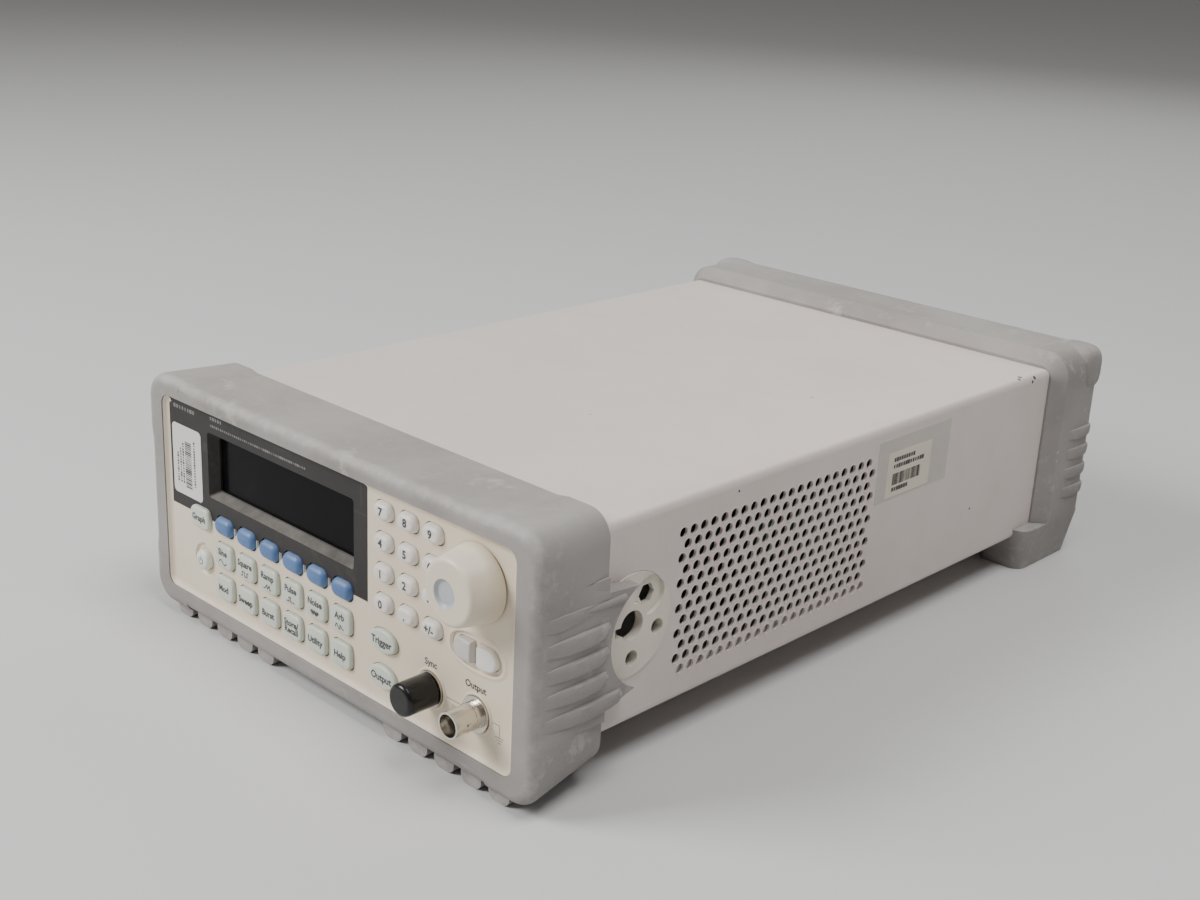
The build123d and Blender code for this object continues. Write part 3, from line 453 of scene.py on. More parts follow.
@dataclass(frozen=True)
class DishFinish(Finish):
    """A knob's finish, with the thumb dish in a second colour."""

    dish_at: Point = (0.0, 0.0)
    dish_radius: float = 0.0052
    dish_front: float = 0.0
    dish_colour: Colour = (0.45, 0.47, 0.5)

    def recolour(self, w: Wiring, place: bpy.types.NodeSocket,
                 colour: bpy.types.NodeSocket) -> bpy.types.NodeSocket:
        """Paint the dish, by its distance from the dish's own axis.

        Args:
            w: The material's wiring.
            place: The coordinates' socket.
            colour: The colour so far.

        Returns:
            The colour with the dish.
        """
        x, y, z = w.apart(place)
        flat = w.made("ShaderNodeCombineXYZ", {0: w.math("SUBTRACT", x, self.dish_at[0]),
                                               2: w.math("SUBTRACT", z, self.dish_at[1])})
        far = w.vector("LENGTH", flat, out="Value")
        inside = w.remap(far, self.dish_radius * 1.01, self.dish_radius * 0.985)
        front = w.math("LESS_THAN", y, self.dish_front)
        return w.mix(w.math("MULTIPLY", inside, front), colour, self.dish_colour)


IVORY = (0.76, 0.665, 0.52)
RUBBER = Finish("bumper_rubber", (0.325, 0.306, 0.292), (0.245, 0.229, 0.216), roughness=0.62, cells=2400.0,
                bump=0.16, bump_distance=0.00025, speckle=0.45, scuff=0.8, dust=0.34,
                dust_colour=(0.52, 0.485, 0.45), rub_colour=(0.44, 0.415, 0.39), specular=0.3)
FRONT_RUBBER = Finish(**{**RUBBER.__dict__, "name": "front_bumper_rubber", "edge": "front_bumper"})
REAR_RUBBER = SpottedFinish(
    **{**RUBBER.__dict__, "name": "rear_bumper_rubber", "edge": "rear_bumper"},
    spot_colour=(0.52, 0.50, 0.44), spot_ragged=1.6,
    spots=((0.1125, 0.1570, 0.0560, 0.0008), (0.1125, 0.1572, 0.0520, 0.0006), (0.1118, 0.1575, 0.0290, 0.0009),
           (0.1105, 0.1580, 0.0180, 0.0011), (0.1100, 0.1660, 0.0140, 0.0009)))
POWDER_COAT = SpottedFinish(
    "sleeve_powder_coat", (0.68, 0.60, 0.57), (0.645, 0.565, 0.53), roughness=0.5, cells=1500.0, bump=0.22,
    bump_distance=0.0003, speckle=0.25, scuff=0.14, dust=0.12, dust_colour=(0.74, 0.70, 0.67),
    rub_colour=(0.56, 0.52, 0.50), specular=0.45,
    spots=((0.1030, 0.1300, 0.0951, 0.0011), (0.1042, 0.1272, 0.0949, 0.0008), (0.1056, 0.1385, 0.0940, 0.0010),
           (0.1062, 0.1362, 0.0925, 0.0008), (0.0210, -0.0600, 0.0951, 0.0004), (0.0630, 0.0300, 0.0951, 0.0005),
           (-0.0450, 0.0700, 0.0951, 0.0004), (0.1063, -0.0700, 0.0905, 0.0005), (0.1063, 0.0950, 0.0420, 0.0005)))
PANEL_IVORY = Finish("panel_ivory", IVORY, (0.72, 0.62, 0.48), roughness=0.46, cells=2600.0, bump=0.1,
                     speckle=0.12, scuff=0.16, dust=0.3, dust_colour=(0.60, 0.53, 0.44), rub_colour=(0.60, 0.54, 0.45))
PIVOT_CREAM = Finish("pivot_cream", (0.74, 0.69, 0.59), (0.66, 0.61, 0.52), roughness=0.5, cells=2200.0, bump=0.1,
                     scuff=0.4, dust=0.3, rub_colour=(0.45, 0.42, 0.37))
MASK_GREY = Finish("mask_warm_grey", (0.036, 0.033, 0.031), (0.029, 0.027, 0.026), roughness=0.5, specular=0.25,
                   cells=3000.0, bump=0.07, speckle=0.2, scuff=0.25, dust=0.95, dust_colour=(0.30, 0.275, 0.25),
                   rub_colour=(0.13, 0.12, 0.11))
LENS_BLACK = Finish("display_lens", (0.002, 0.002, 0.0028), (0.003, 0.003, 0.0038), roughness=0.16, specular=0.07,
                    roughness_spread=0.05, bump=0.01, speckle=0.1, scuff=0.12, dust=0.05,
                    rub_colour=(0.03, 0.03, 0.032))
SOFT_BLUE = Finish("soft_key_blue", (0.085, 0.175, 0.37), (0.068, 0.148, 0.33), roughness=0.42, bump=0.05,
                   speckle=0.1, scuff=0.2, dust=0.18, rub_colour=(0.22, 0.32, 0.50), subsurface=0.1)
KEY_PALE = Finish("function_key_pale", (0.61, 0.645, 0.565), (0.56, 0.60, 0.52), roughness=0.38, bump=0.04,
                  speckle=0.08, scuff=0.2, dust=0.2, rub_colour=(0.5, 0.5, 0.45), subsurface=0.25, coat=0.1)
KEY_WHITE = Finish("number_key_white", (0.80, 0.765, 0.72), (0.74, 0.70, 0.65), roughness=0.4, bump=0.04,
                   speckle=0.1, scuff=0.22, dust=0.2, rub_colour=(0.58, 0.53, 0.47), subsurface=0.12)
# Painted shadow: the left cursor key's pale colour darkened to grey, standing for the knob's shadow that falls on that
# key.
CURSOR_KEY_PAINTED_SHADOW = Finish("cursor_key_grey", (0.56, 0.55, 0.52), (0.50, 0.49, 0.46), roughness=0.4, bump=0.04,
                    scuff=0.2, dust=0.2, subsurface=0.1)
POWER_WHITE = Finish("power_key_white", (0.76, 0.765, 0.69), (0.71, 0.71, 0.64), roughness=0.36, bump=0.04,
                     speckle=0.08, scuff=0.15, dust=0.15, subsurface=0.25)
INK_DARK = Finish("print_dark", (0.035, 0.035, 0.04), (0.06, 0.06, 0.06), roughness=0.6, bump=0.03, scuff=0.25,
                  dust=0.0, rub_colour=(0.25, 0.24, 0.22))
INK_PALE = Finish("print_pale", (0.20, 0.19, 0.175), (0.16, 0.15, 0.14), roughness=0.6, bump=0.03, scuff=0.3, dust=0.0,
                  rub_colour=(0.10, 0.10, 0.10))
INK_GREEN = Finish("print_green", (0.10, 0.22, 0.16), (0.12, 0.22, 0.17), roughness=0.5, bump=0.03, scuff=0.1, dust=0.0)
LABEL_WHITE = Finish("label_white", (0.70, 0.685, 0.68), (0.66, 0.645, 0.635), roughness=0.4, cells=1200.0, bump=0.04,
                     scuff=0.3, dust=0.12, rub_colour=(0.6, 0.58, 0.55))
LABEL_CREAM = Finish("label_cream", (0.70, 0.64, 0.52), (0.66, 0.60, 0.48), roughness=0.4, cells=1200.0, bump=0.04,
                     scuff=0.3, dust=0.12, rub_colour=(0.5, 0.45, 0.36))
TAPE_OLD = Finish("tape_old", (0.50, 0.465, 0.42), (0.455, 0.42, 0.375), roughness=0.22, cells=260.0, bump=0.12,
                  bump_distance=0.0004, scuff=0.35, dust=0.1, rub_colour=(0.42, 0.385, 0.345), coat=0.3)
NICKEL = Finish("nickel_plate", (0.74, 0.71, 0.65), (0.60, 0.565, 0.50), roughness=0.25, roughness_spread=0.16,
                cells=3400.0, bump=0.05, speckle=0.2, scuff=0.5, dust=0.06, rub_colour=(0.42, 0.38, 0.32),
                metallic=1.0)
BRASS_CONTACT = Finish("brass_contact", (0.62, 0.47, 0.22), (0.50, 0.37, 0.16), roughness=0.3, scuff=0.3, dust=0.0,
                       rub_colour=(0.3, 0.22, 0.1), metallic=1.0)
INSULATOR = Finish("insulator_white", (0.78, 0.76, 0.70), (0.72, 0.70, 0.63), roughness=0.35, bump=0.03, scuff=0.1,
                   dust=0.05)
VINYL = Finish("cap_vinyl_black", (0.005, 0.005, 0.0055), (0.008, 0.008, 0.008), roughness=0.24, roughness_spread=0.08,
               cells=900.0, bump=0.06, speckle=0.1, scuff=0.3, dust=0.03, dust_colour=(0.16, 0.15, 0.14),
               rub_colour=(0.03, 0.03, 0.03), specular=0.4)
BLACK_PLASTIC = Finish("black_plastic", (0.022, 0.022, 0.022), (0.03, 0.03, 0.03), roughness=0.5, bump=0.1,
                       scuff=0.2, dust=0.2, dust_colour=(0.2, 0.19, 0.18), rub_colour=(0.08, 0.08, 0.08))
ZINC = Finish("zinc_steel", (0.52, 0.52, 0.50), (0.44, 0.44, 0.42), roughness=0.36, cells=700.0, bump=0.05,
              speckle=0.3, scuff=0.3, dust=0.1, rub_colour=(0.36, 0.36, 0.34), metallic=1.0)
PORT_SHELL = Finish("port_shell", (0.46, 0.46, 0.44), (0.40, 0.40, 0.38), roughness=0.32, cells=1600.0, bump=0.04,
                    scuff=0.3, dust=0.05, rub_colour=(0.3, 0.3, 0.28), metallic=1.0)
REAR_PAINT = Finish("rear_paint", (0.60, 0.565, 0.53), (0.56, 0.525, 0.49), roughness=0.5, cells=1500.0, bump=0.2,
                    bump_distance=0.0003, speckle=0.2, scuff=0.2, dust=0.15)
BOARD_GREEN = Finish("board_green", (0.03, 0.13, 0.06), (0.045, 0.16, 0.08), roughness=0.35, cells=500.0, bump=0.1,
                     speckle=0.6, scuff=0.1, dust=0.15, rub_colour=(0.25, 0.23, 0.12))
SILICONE = Finish("keypad_silicone", (0.42, 0.42, 0.41), (0.38, 0.38, 0.37), roughness=0.7, scuff=0.1, dust=0.1)


# ---------------------------------------------------------------- mesh makers
def mesh_object(name: str, mesh: bpy.types.Mesh, finish: Finish, body: str,
                sharp: float = 40.0) -> bpy.types.Object:
    """Turn a mesh into a finished piece at the origin.

    Args:
        name: The piece's name.
        mesh: Its mesh, already in place.
        finish: Its finish.
        body: The body it rides on.
        sharp: Edges sharper than this angle stay crisp, in degrees.

    Returns:
        The object.
    """
    piece = bpy.data.objects.new(name, mesh)
    bpy.context.scene.collection.objects.link(piece)
    mesh.materials.clear()
    mesh.materials.append(finish.material())
    mesh.polygons.foreach_set("use_smooth", [True] * len(mesh.polygons))
    mesh.polygons.foreach_set("material_index", [0] * len(mesh.polygons))
    mesh.set_sharp_from_angle(angle=math.radians(sharp))
    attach(piece, body)
    return piece


def plain_mesh(name: str, form: bmesh.types.BMesh, turn_out: bool = True) -> bpy.types.Mesh:
    """Keep a form as a mesh.

    Args:
        name: The mesh's name.
        form: The form, which is freed.
        turn_out: Whether its faces are first turned outwards.

    Returns:
        The mesh.
    """
    if turn_out:
        bmesh.ops.recalc_face_normals(form, faces=form.faces)
    mesh = bpy.data.meshes.new(name)
    form.to_mesh(mesh)
    form.free()
    return mesh


def quad_strip(form: bmesh.types.BMesh, first: Sequence[bmesh.types.BMVert],
               second: Sequence[bmesh.types.BMVert]) -> None:
    """Join two closed rows of corners with faces.

    Args:
        form: The form that gets the faces.
        first: The corners of one row.
        second: The corners of the other row.
    """
    for i in range(len(first)):
        j = (i + 1) % len(first)
        form.faces.new((first[i], first[j], second[j], second[i]))


def skin_rings(name: str, rings: Sequence[Ring], loop: bool = False) -> bpy.types.Mesh:
    """Join closed rings of points into one closed skin.

    Args:
        name: The mesh's name.
        rings: The rings, each with as many points as the others.
        loop: Whether the last ring joins the first; if not, both ends are closed with a pole.

    Returns:
        The mesh.
    """
    form = bmesh.new()
    rows = [[form.verts.new(p) for p in ring] for ring in rings]
    pairs = list(zip(rows, rows[1:])) + ([(rows[-1], rows[0])] if loop else [])
    for first, second in pairs:
        quad_strip(form, first, second)
    if not loop:
        for row in (rows[0], rows[-1]):
            middle = form.verts.new(sum((v.co for v in row), Vector()) / len(row))
            for i in range(len(row)):
                form.faces.new((row[i], row[(i + 1) % len(row)], middle))
    return plain_mesh(name, form)


def lathe(name: str, profile: Sequence[tuple[float, float]], centre: Point, steps: int = 48) -> bpy.types.Mesh:
    """Turn a closed profile about an axis along Y.

    Args:
        name: The mesh's name.
        profile: Radius and Y of each corner, in order round the section.
        centre: The axis's X and Z.
        steps: Points round the axis.

    Returns:
        The mesh, a closed ring.
    """
    turns = [2 * math.pi * i / steps for i in range(steps)]
    rings = [[(centre[0] + r * math.cos(t), y, centre[1] + r * math.sin(t)) for t in turns] for r, y in profile]
    return skin_rings(name, rings, loop=True)


def text_mesh(body: str, size: float, at: Point, y: float, weight: float = 0.0,
              fit: float = 1.0) -> bpy.types.Mesh:
    """Make printed lettering that faces the user.

    Args:
        body: The characters.
        size: Their height, in metres.
        at: The middle's X and Z.
        y: The face that it is printed on.
        weight: How much the strokes are thickened.
        fit: The widest that the line may be; a longer one is squeezed.

    Returns:
        The mesh.
    """
    curve = bpy.data.curves.new("lettering", "FONT")
    curve.body = body
    curve.size = size
    curve.align_x = "CENTER"
    curve.align_y = "CENTER"
    curve.offset = weight
    curve.extrude = 0.00002
    curve.resolution_u = 3
    curve.space_line = 0.8
    holder = bpy.data.objects.new("lettering", curve)
    bpy.context.scene.collection.objects.link(holder)
    bpy.context.view_layer.update()
    mesh = bpy.data.meshes.new_from_object(holder.evaluated_get(bpy.context.evaluated_depsgraph_get()))
    bpy.data.objects.remove(holder)
    bpy.data.curves.remove(curve)
    wide = 2 * max(abs(v.co.x) for v in mesh.vertices)
    mesh.transform(Matrix.Diagonal((min(1.0, fit / wide), 1.0, 1.0, 1.0)))
    mesh.transform(Matrix.Translation((at[0], y, at[1])) @ Matrix.Rotation(math.radians(90), 4, "X"))
    return mesh


def stroke_mesh(points: Sequence[Point], width: float, at: Point, y: float) -> bpy.types.Mesh:
    """Make a printed line through points.

    Args:
        points: X and Z of each point, from the middle.
        width: The line's width.
        at: The middle's X and Z.
        y: The face that it is printed on.

    Returns:
        The mesh.
    """
    form = bmesh.new()
    for (x0, z0), (x1, z1) in zip(points, points[1:]):
        along = Vector((x1 - x0, z1 - z0))
        if along.length == 0:
            continue
        along.normalize()
        side = Vector((-along.y, along.x)) * width / 2
        along *= width * 0.35
        start, end = Vector((x0, z0)) - along, Vector((x1, z1)) + along
        corners = [start + side, end + side, end - side, start - side]
        front = [form.verts.new((at[0] + x, y - 0.00002, at[1] + z)) for x, z in corners]
        back = [form.verts.new((at[0] + x, y + 0.00002, at[1] + z)) for x, z in corners]
        form.faces.new(front)
        form.faces.new(back[::-1])
        quad_strip(form, front, back)
    return plain_mesh("stroke", form)


def join_meshes(name: str, meshes: Iterable[bpy.types.Mesh]) -> bpy.types.Mesh:
    """Put several meshes into one.

    Args:
        name: The new mesh's name.
        meshes: The meshes, which are removed.

    Returns:
        The mesh.
    """
    form = bmesh.new()
    for mesh in meshes:
        form.from_mesh(mesh)
        bpy.data.meshes.remove(mesh)
    return plain_mesh(name, form, turn_out=False)


def case_piece(name: str, parts: Sequence[bpy.types.Mesh], finish: Finish,
               sharp: float = 40.0) -> bpy.types.Object:
    """Join meshes into one piece that rides on the case.

    Args:
        name: The piece's name.
        parts: Its meshes, already in place, which are removed.
        finish: Its finish.
        sharp: Edges sharper than this angle stay crisp, in degrees.

    Returns:
        The object.
    """
    return mesh_object(name, join_meshes(name, parts), finish, "case", sharp)


def dress(finishes: dict[str, Finish]) -> None:
    """Give packed nodes their finishes.

    Args:
        finishes: Each node's name and its finish.
    """
    for node, finish in finishes.items():
        piece = frame["nodes"][node]
        material = finish.material()
        if not piece.material_slots:
            piece.data.materials.append(material)
        for place in piece.material_slots:
            place.material = material


class SurfaceProbe:
    """Finds the surface of a packed node by looking along a line."""

    def __init__(self, node: str) -> None:
        """Index the node's faces.

        Args:
            node: The node's name.
        """
        mesh = frame["nodes"][node].data
        self.tree = BVHTree.FromPolygons([v.co.copy() for v in mesh.vertices],
                                         [tuple(f.vertices) for f in mesh.polygons])

    def side(self, sign: int, y: float, z: float) -> float:
        """Give the outer surface's distance from the middle plane.

        Args:
            sign: -1 for the left side, 1 for the right side.
            y: Where to look.
            z: Where to look.

        Returns:
            The distance, in metres.
        """
        hit = self.tree.ray_cast(Vector((sign * 0.3, y, z)), Vector((-sign, 0, 0)))[0]
        return abs(hit.x) if hit else 0.0


def grip_rib(probe: SurfaceProbe, sign: int, span: Point, top: float, tall: float, rise: float, gap: float,
             limit: float) -> bpy.types.Mesh:
    """Model one finger grip: a crisp upper edge, a soft belly and an undercut that bows downwards.

    Args:
        probe: The bumper's surface.
        sign: -1 for the left side, 1 for the right side.
        span: The rib's first and last Y.
        top: Z of its upper edge.
        tall: Its height.
        rise: How far it stands out.
        gap: From its upper edge up to the plain surface between two ribs.
        limit: The farthest X that it may reach.

    Returns:
        The mesh.
    """
    across = ((0.0, 0.0), (0.04, 0.75), (0.12, 1.0), (0.45, 0.96), (0.8, 0.86), (0.95, 0.62), (1.0, 0.0))
    rows = []
    for i in range(25):
        s = i / 24
        y = span[0] + (span[1] - span[0]) * s
        plain = probe.side(sign, y, top + gap)
        closing = 1.0 if s < 0.86 else math.sqrt(max(0.0, (1.0 - s) / 0.14))
        swell = math.sin(math.pi * min(1.0, s * 1.15) ** 0.8 * 0.5) * closing
        bow = 1.0 + 0.28 * math.sin(math.pi * s)
        front = [(sign * min(limit, plain + rise * swell * h), y, top - tall * bow * t) for t, h in across]
        rows.append(front + [(sign * (plain - 0.6 * MM), y, top - tall * bow * t) for t in (1.0, 0.5, 0.0)])
    return skin_rings("grip", rows)


# ---------------------------------------------------------------- geometry node patterns
class Pattern:
    """A Geometry Nodes tree that repeats a small shape."""

    SOCKETS = {float: "NodeSocketFloat", int: "NodeSocketInt", tuple: "NodeSocketVector", Vector: "NodeSocketVector",
               bpy.types.Material: "NodeSocketMaterial"}

    def __init__(self, name: str, inputs: dict[str, object]) -> None:
        """Make the tree and its named inputs.

        Args:
            name: The tree's name.
            inputs: Each input's name and its value, which sets its type.
        """
        self.values = inputs
        self.tree = bpy.data.node_groups.new(name, "GeometryNodeTree")
        self.tree.interface.new_socket("Geometry", in_out="INPUT", socket_type="NodeSocketGeometry")
        self.ids: dict[str, str] = {}
        for label, value in inputs.items():
            kind = next(k for t, k in self.SOCKETS.items() if isinstance(value, t))
            self.ids[label] = self.tree.interface.new_socket(label, in_out="INPUT", socket_type=kind).identifier
        self.tree.interface.new_socket("Geometry", in_out="OUTPUT", socket_type="NodeSocketGeometry")
        self.w = Wiring(self.tree)
        self.into = self.w.add("NodeGroupInput")
        self.out = self.w.add("NodeGroupOutput")

    def scatter(self, count: object, position: object, shape: bpy.types.NodeSocket,
                rotation: object = (0.0, 0.0, 0.0), scale: object = (1.0, 1.0, 1.0)) -> None:
        """End the tree: put the shape at each point, make it real and give it the finish.

        Args:
            count: How many points.
            position: Each point's place.
            shape: The geometry that is repeated.
            rotation: The shape's turn.
            scale: The shape's scale.
        """
        w = self.w
        points = w.made("GeometryNodePoints", {"Count": count, "Position": position})
        spread = w.made("GeometryNodeInstanceOnPoints",
                        {"Points": points, "Instance": shape, "Rotation": rotation, "Scale": scale})
        real = w.made("GeometryNodeRealizeInstances", {0: spread})
        w.feed(self.out.inputs[0], w.made("GeometryNodeSetMaterial",
                                          {"Geometry": real, "Material": self.into.outputs["Finish"]}))

    def mesh(self, name: str, **values: object) -> bpy.types.Mesh:
        """Run the tree and keep the result as a plain mesh.

        Args:
            name: The mesh's name.
            **values: Inputs that differ from the tree's own, with _ for a space.

        Returns:
            The mesh.
        """
        holder = bpy.data.objects.new(name, bpy.data.meshes.new(name + "_seed"))
        bpy.context.scene.collection.objects.link(holder)
        modifier = holder.modifiers.new("pattern", "NODES")
        modifier.node_group = self.tree
        chosen = {**self.values, **{k.replace("_", " "): v for k, v in values.items()}}
        for label, value in chosen.items():
            modifier[self.ids[label]] = value
        bpy.context.view_layer.update()
        mesh = bpy.data.meshes.new_from_object(holder.evaluated_get(bpy.context.evaluated_depsgraph_get()))
        holder.modifiers.remove(modifier)
        bpy.data.objects.remove(holder)
        mesh.name = name
        return mesh


def ring_field_pattern(finish: Finish) -> Pattern:
    """Rolled rims round a staggered field of round holes in a side wall.

    Args:
        finish: The rims' finish.

    Returns:
        The pattern.
    """
    p = Pattern("hole_rims", {"Corner": Vector((0, 0, 0)), "Pitch": 5.57 * MM, "Row Pitch": 4.9 * MM, "Columns": 21,
                              "Rows": 12, "Rim Radius": 2.13 * MM, "Bead": 0.16 * MM, "Finish": finish.material()})
    w, into = p.w, p.into.outputs
    index = w.add("GeometryNodeInputIndex").outputs[0]
    row = w.math("FLOOR", w.math("DIVIDE", w.math("ADD", index, 0.5), into["Columns"]))
    column = w.math("SUBTRACT", index, w.math("MULTIPLY", row, into["Columns"]))
    shift = w.math("MULTIPLY", w.math("MODULO", row, 2.0), 0.5)
    offset = w.made("ShaderNodeCombineXYZ", {
        1: w.math("MULTIPLY", w.math("ADD", column, shift), into["Pitch"]),
        2: w.math("MULTIPLY", w.math("MULTIPLY", row, into["Row Pitch"]), -1.0)})
    rim, bead = (w.made("GeometryNodeCurvePrimitiveCircle", {"Resolution": points, "Radius": into[size]}, mode="RADIUS")
                 for points, size in ((12, "Rim Radius"), (4, "Bead")))
    tube = w.made("GeometryNodeCurveToMesh", {"Curve": rim, "Profile Curve": bead})
    p.scatter(w.math("MULTIPLY", into["Columns"], into["Rows"]), w.vector("ADD", into["Corner"], offset),
              tube, rotation=(0.0, math.pi / 2, 0.0))
    return p


def bar_row_pattern(finish: Finish) -> Pattern:
    """A row of plain printed bars, with seeded lengths and widths.

    Args:
        finish: The print's finish.

    Returns:
        The pattern.
    """
    p = Pattern("printed_bars", {"Start": Vector((0, 0, 0)), "Step": Vector((0, 0, 0)), "Bar": Vector((0, 0, 0)),
                                 "Spread": Vector((0, 0, 0)), "Count": 10, "Seed": 1, "Finish": finish.material()})
    w, into = p.w, p.into.outputs
    index = w.add("GeometryNodeInputIndex").outputs[0]
    chance = w.made("FunctionNodeRandomValue", {2: -1.0, 3: 1.0, "Seed": into["Seed"]}, 1, data_type="FLOAT")
    place, grow = (w.made("ShaderNodeVectorMath", {0: into[name], "Scale": times}, operation="SCALE")
                   for name, times in (("Step", index), ("Spread", chance)))
    cube = w.made("GeometryNodeMeshCube", {"Size": (1.0, 1.0, 1.0)}, "Mesh")
    p.scatter(into["Count"], w.vector("ADD", into["Start"], place), cube, scale=w.vector("ADD", into["Bar"], grow))
    return p


def tooth_row_pattern(finish: Finish) -> Pattern:
    """A row of small three sided teeth.

    Args:
        finish: The teeth's finish.

    Returns:
        The pattern.
    """
    p = Pattern("mask_teeth", {"Start": Vector((0, 0, 0)), "Pitch": 15.04 * MM, "Radius": 2.0 * MM,
                               "Thick": 0.2 * MM, "Count": 5, "Finish": finish.material()})
    w, into = p.w, p.into.outputs
    index = w.add("GeometryNodeInputIndex").outputs[0]
    offset = w.made("ShaderNodeCombineXYZ", {0: w.math("MULTIPLY", index, into["Pitch"])})
    tooth = w.made("GeometryNodeMeshCylinder", {"Vertices": 3, "Radius": into["Radius"], "Depth": into["Thick"]}, "Mesh")
    p.scatter(into["Count"], w.vector("ADD", into["Start"], offset), tooth, rotation=(math.pi / 2, 0.0, math.pi / 2))
    return p


# ---------------------------------------------------------------- studio
@dataclass
class Studio:
    """Pale floor, soft light and the camera."""

    azimuth: float = 43.261
    elevation: float = 19.548
    roll: float = 2.792
    position: tuple[float, float, float] = (0.4373, -0.4958, 0.2942)
    lens: float = 47.90

    def build(self) -> None:
        """Build the floor, the world, the lamps and the camera."""
        self._floor()
        self._world()
        self._lamp("key_light", (-0.95, -1.35, 1.20), (0.0, -0.02, 0.05), 0.9, 42.0)
        self._lamp("top_light", (0.55, -0.05, 1.65), (0.0, 0.0, 0.05), 0.8, 20.0)
        self._lamp("rear_light", (-0.60, 1.60, 1.30), (0.0, 0.0, 0.05), 1.3, 8.0)
        self._camera()

    def _floor(self) -> None:
        """Lay a wide floor under the feet."""
        form = bmesh.new()
        bmesh.ops.create_grid(form, x_segments=1, y_segments=1, size=6.0)
        mesh = plain_mesh("floor", form, turn_out=False)
        floor = bpy.data.objects.new("floor", mesh)
        floor.location.z = -0.0001
        bpy.context.scene.collection.objects.link(floor)
        material = bpy.data.materials.new("floor_pale")
        material.use_nodes = True
        shader = material.node_tree.nodes["Principled BSDF"]
        shader.inputs["Base Color"].default_value = (0.60, 0.595, 0.59, 1.0)
        shader.inputs["Roughness"].default_value = 0.85
        mesh.materials.append(material)

    def _world(self) -> None:
        """Light the room evenly and weakly."""
        world = bpy.data.worlds.new("soft_room")
        world.use_nodes = True
        world.node_tree.nodes["Background"].inputs["Color"].default_value = (1.0, 0.985, 0.965, 1.0)
        world.node_tree.nodes["Background"].inputs["Strength"].default_value = 0.2
        bpy.context.scene.world = world

    def _lamp(self, name: str, place: tuple[float, float, float], target: tuple[float, float, float],
              size: float, power: float) -> None:
        """Hang a square soft lamp.

        Args:
            name: Its name.
            place: Where it hangs.
            target: What it looks at.
            size: Its side, in metres.
            power: Its power, in watts.
        """
        data = bpy.data.lights.new(name, "AREA")
        data.size = size
        data.energy = power
        lamp = bpy.data.objects.new(name, data)
        lamp.location = place
        lamp.rotation_euler = (Vector(target) - Vector(place)).to_track_quat("-Z", "Y").to_euler()
        bpy.context.scene.collection.objects.link(lamp)

    def _camera(self) -> None:
        """Set up the camera at the solved viewing angle."""
        a, e, r = (math.radians(v) for v in (self.azimuth, self.elevation, self.roll))
        back = Vector((math.sin(a) * math.cos(e), -math.cos(a) * math.cos(e), math.sin(e)))
        right = (-back).cross(Vector((0, 0, 1))).normalized()
        up = right.cross(-back)
        turned_right = math.cos(r) * right + math.sin(r) * up
        turned_up = -math.sin(r) * right + math.cos(r) * up
        data = bpy.data.cameras.new("camera")
        data.sensor_width = 36.0
        data.lens = self.lens
        data.clip_start = 0.01
        data.clip_end = 50.0
        camera = bpy.data.objects.new("camera", data)
        turn = Matrix((turned_right, turned_up, back)).transposed().to_4x4()
        camera.matrix_world = Matrix.Translation(self.position) @ turn
        bpy.context.scene.collection.objects.link(camera)
        bpy.context.scene.camera = camera


# ---------------------------------------------------------------- keys
class KeyForm(Enum):
    """The outline and face of a key cap."""

    SOFT = "crest"
    FUNCTION = "flat"
    NUMBER = "pebble"
    OVAL = "oval"
    POWER = "dome"
    ARROW_LEFT = "left"
    ARROW_RIGHT = "right"


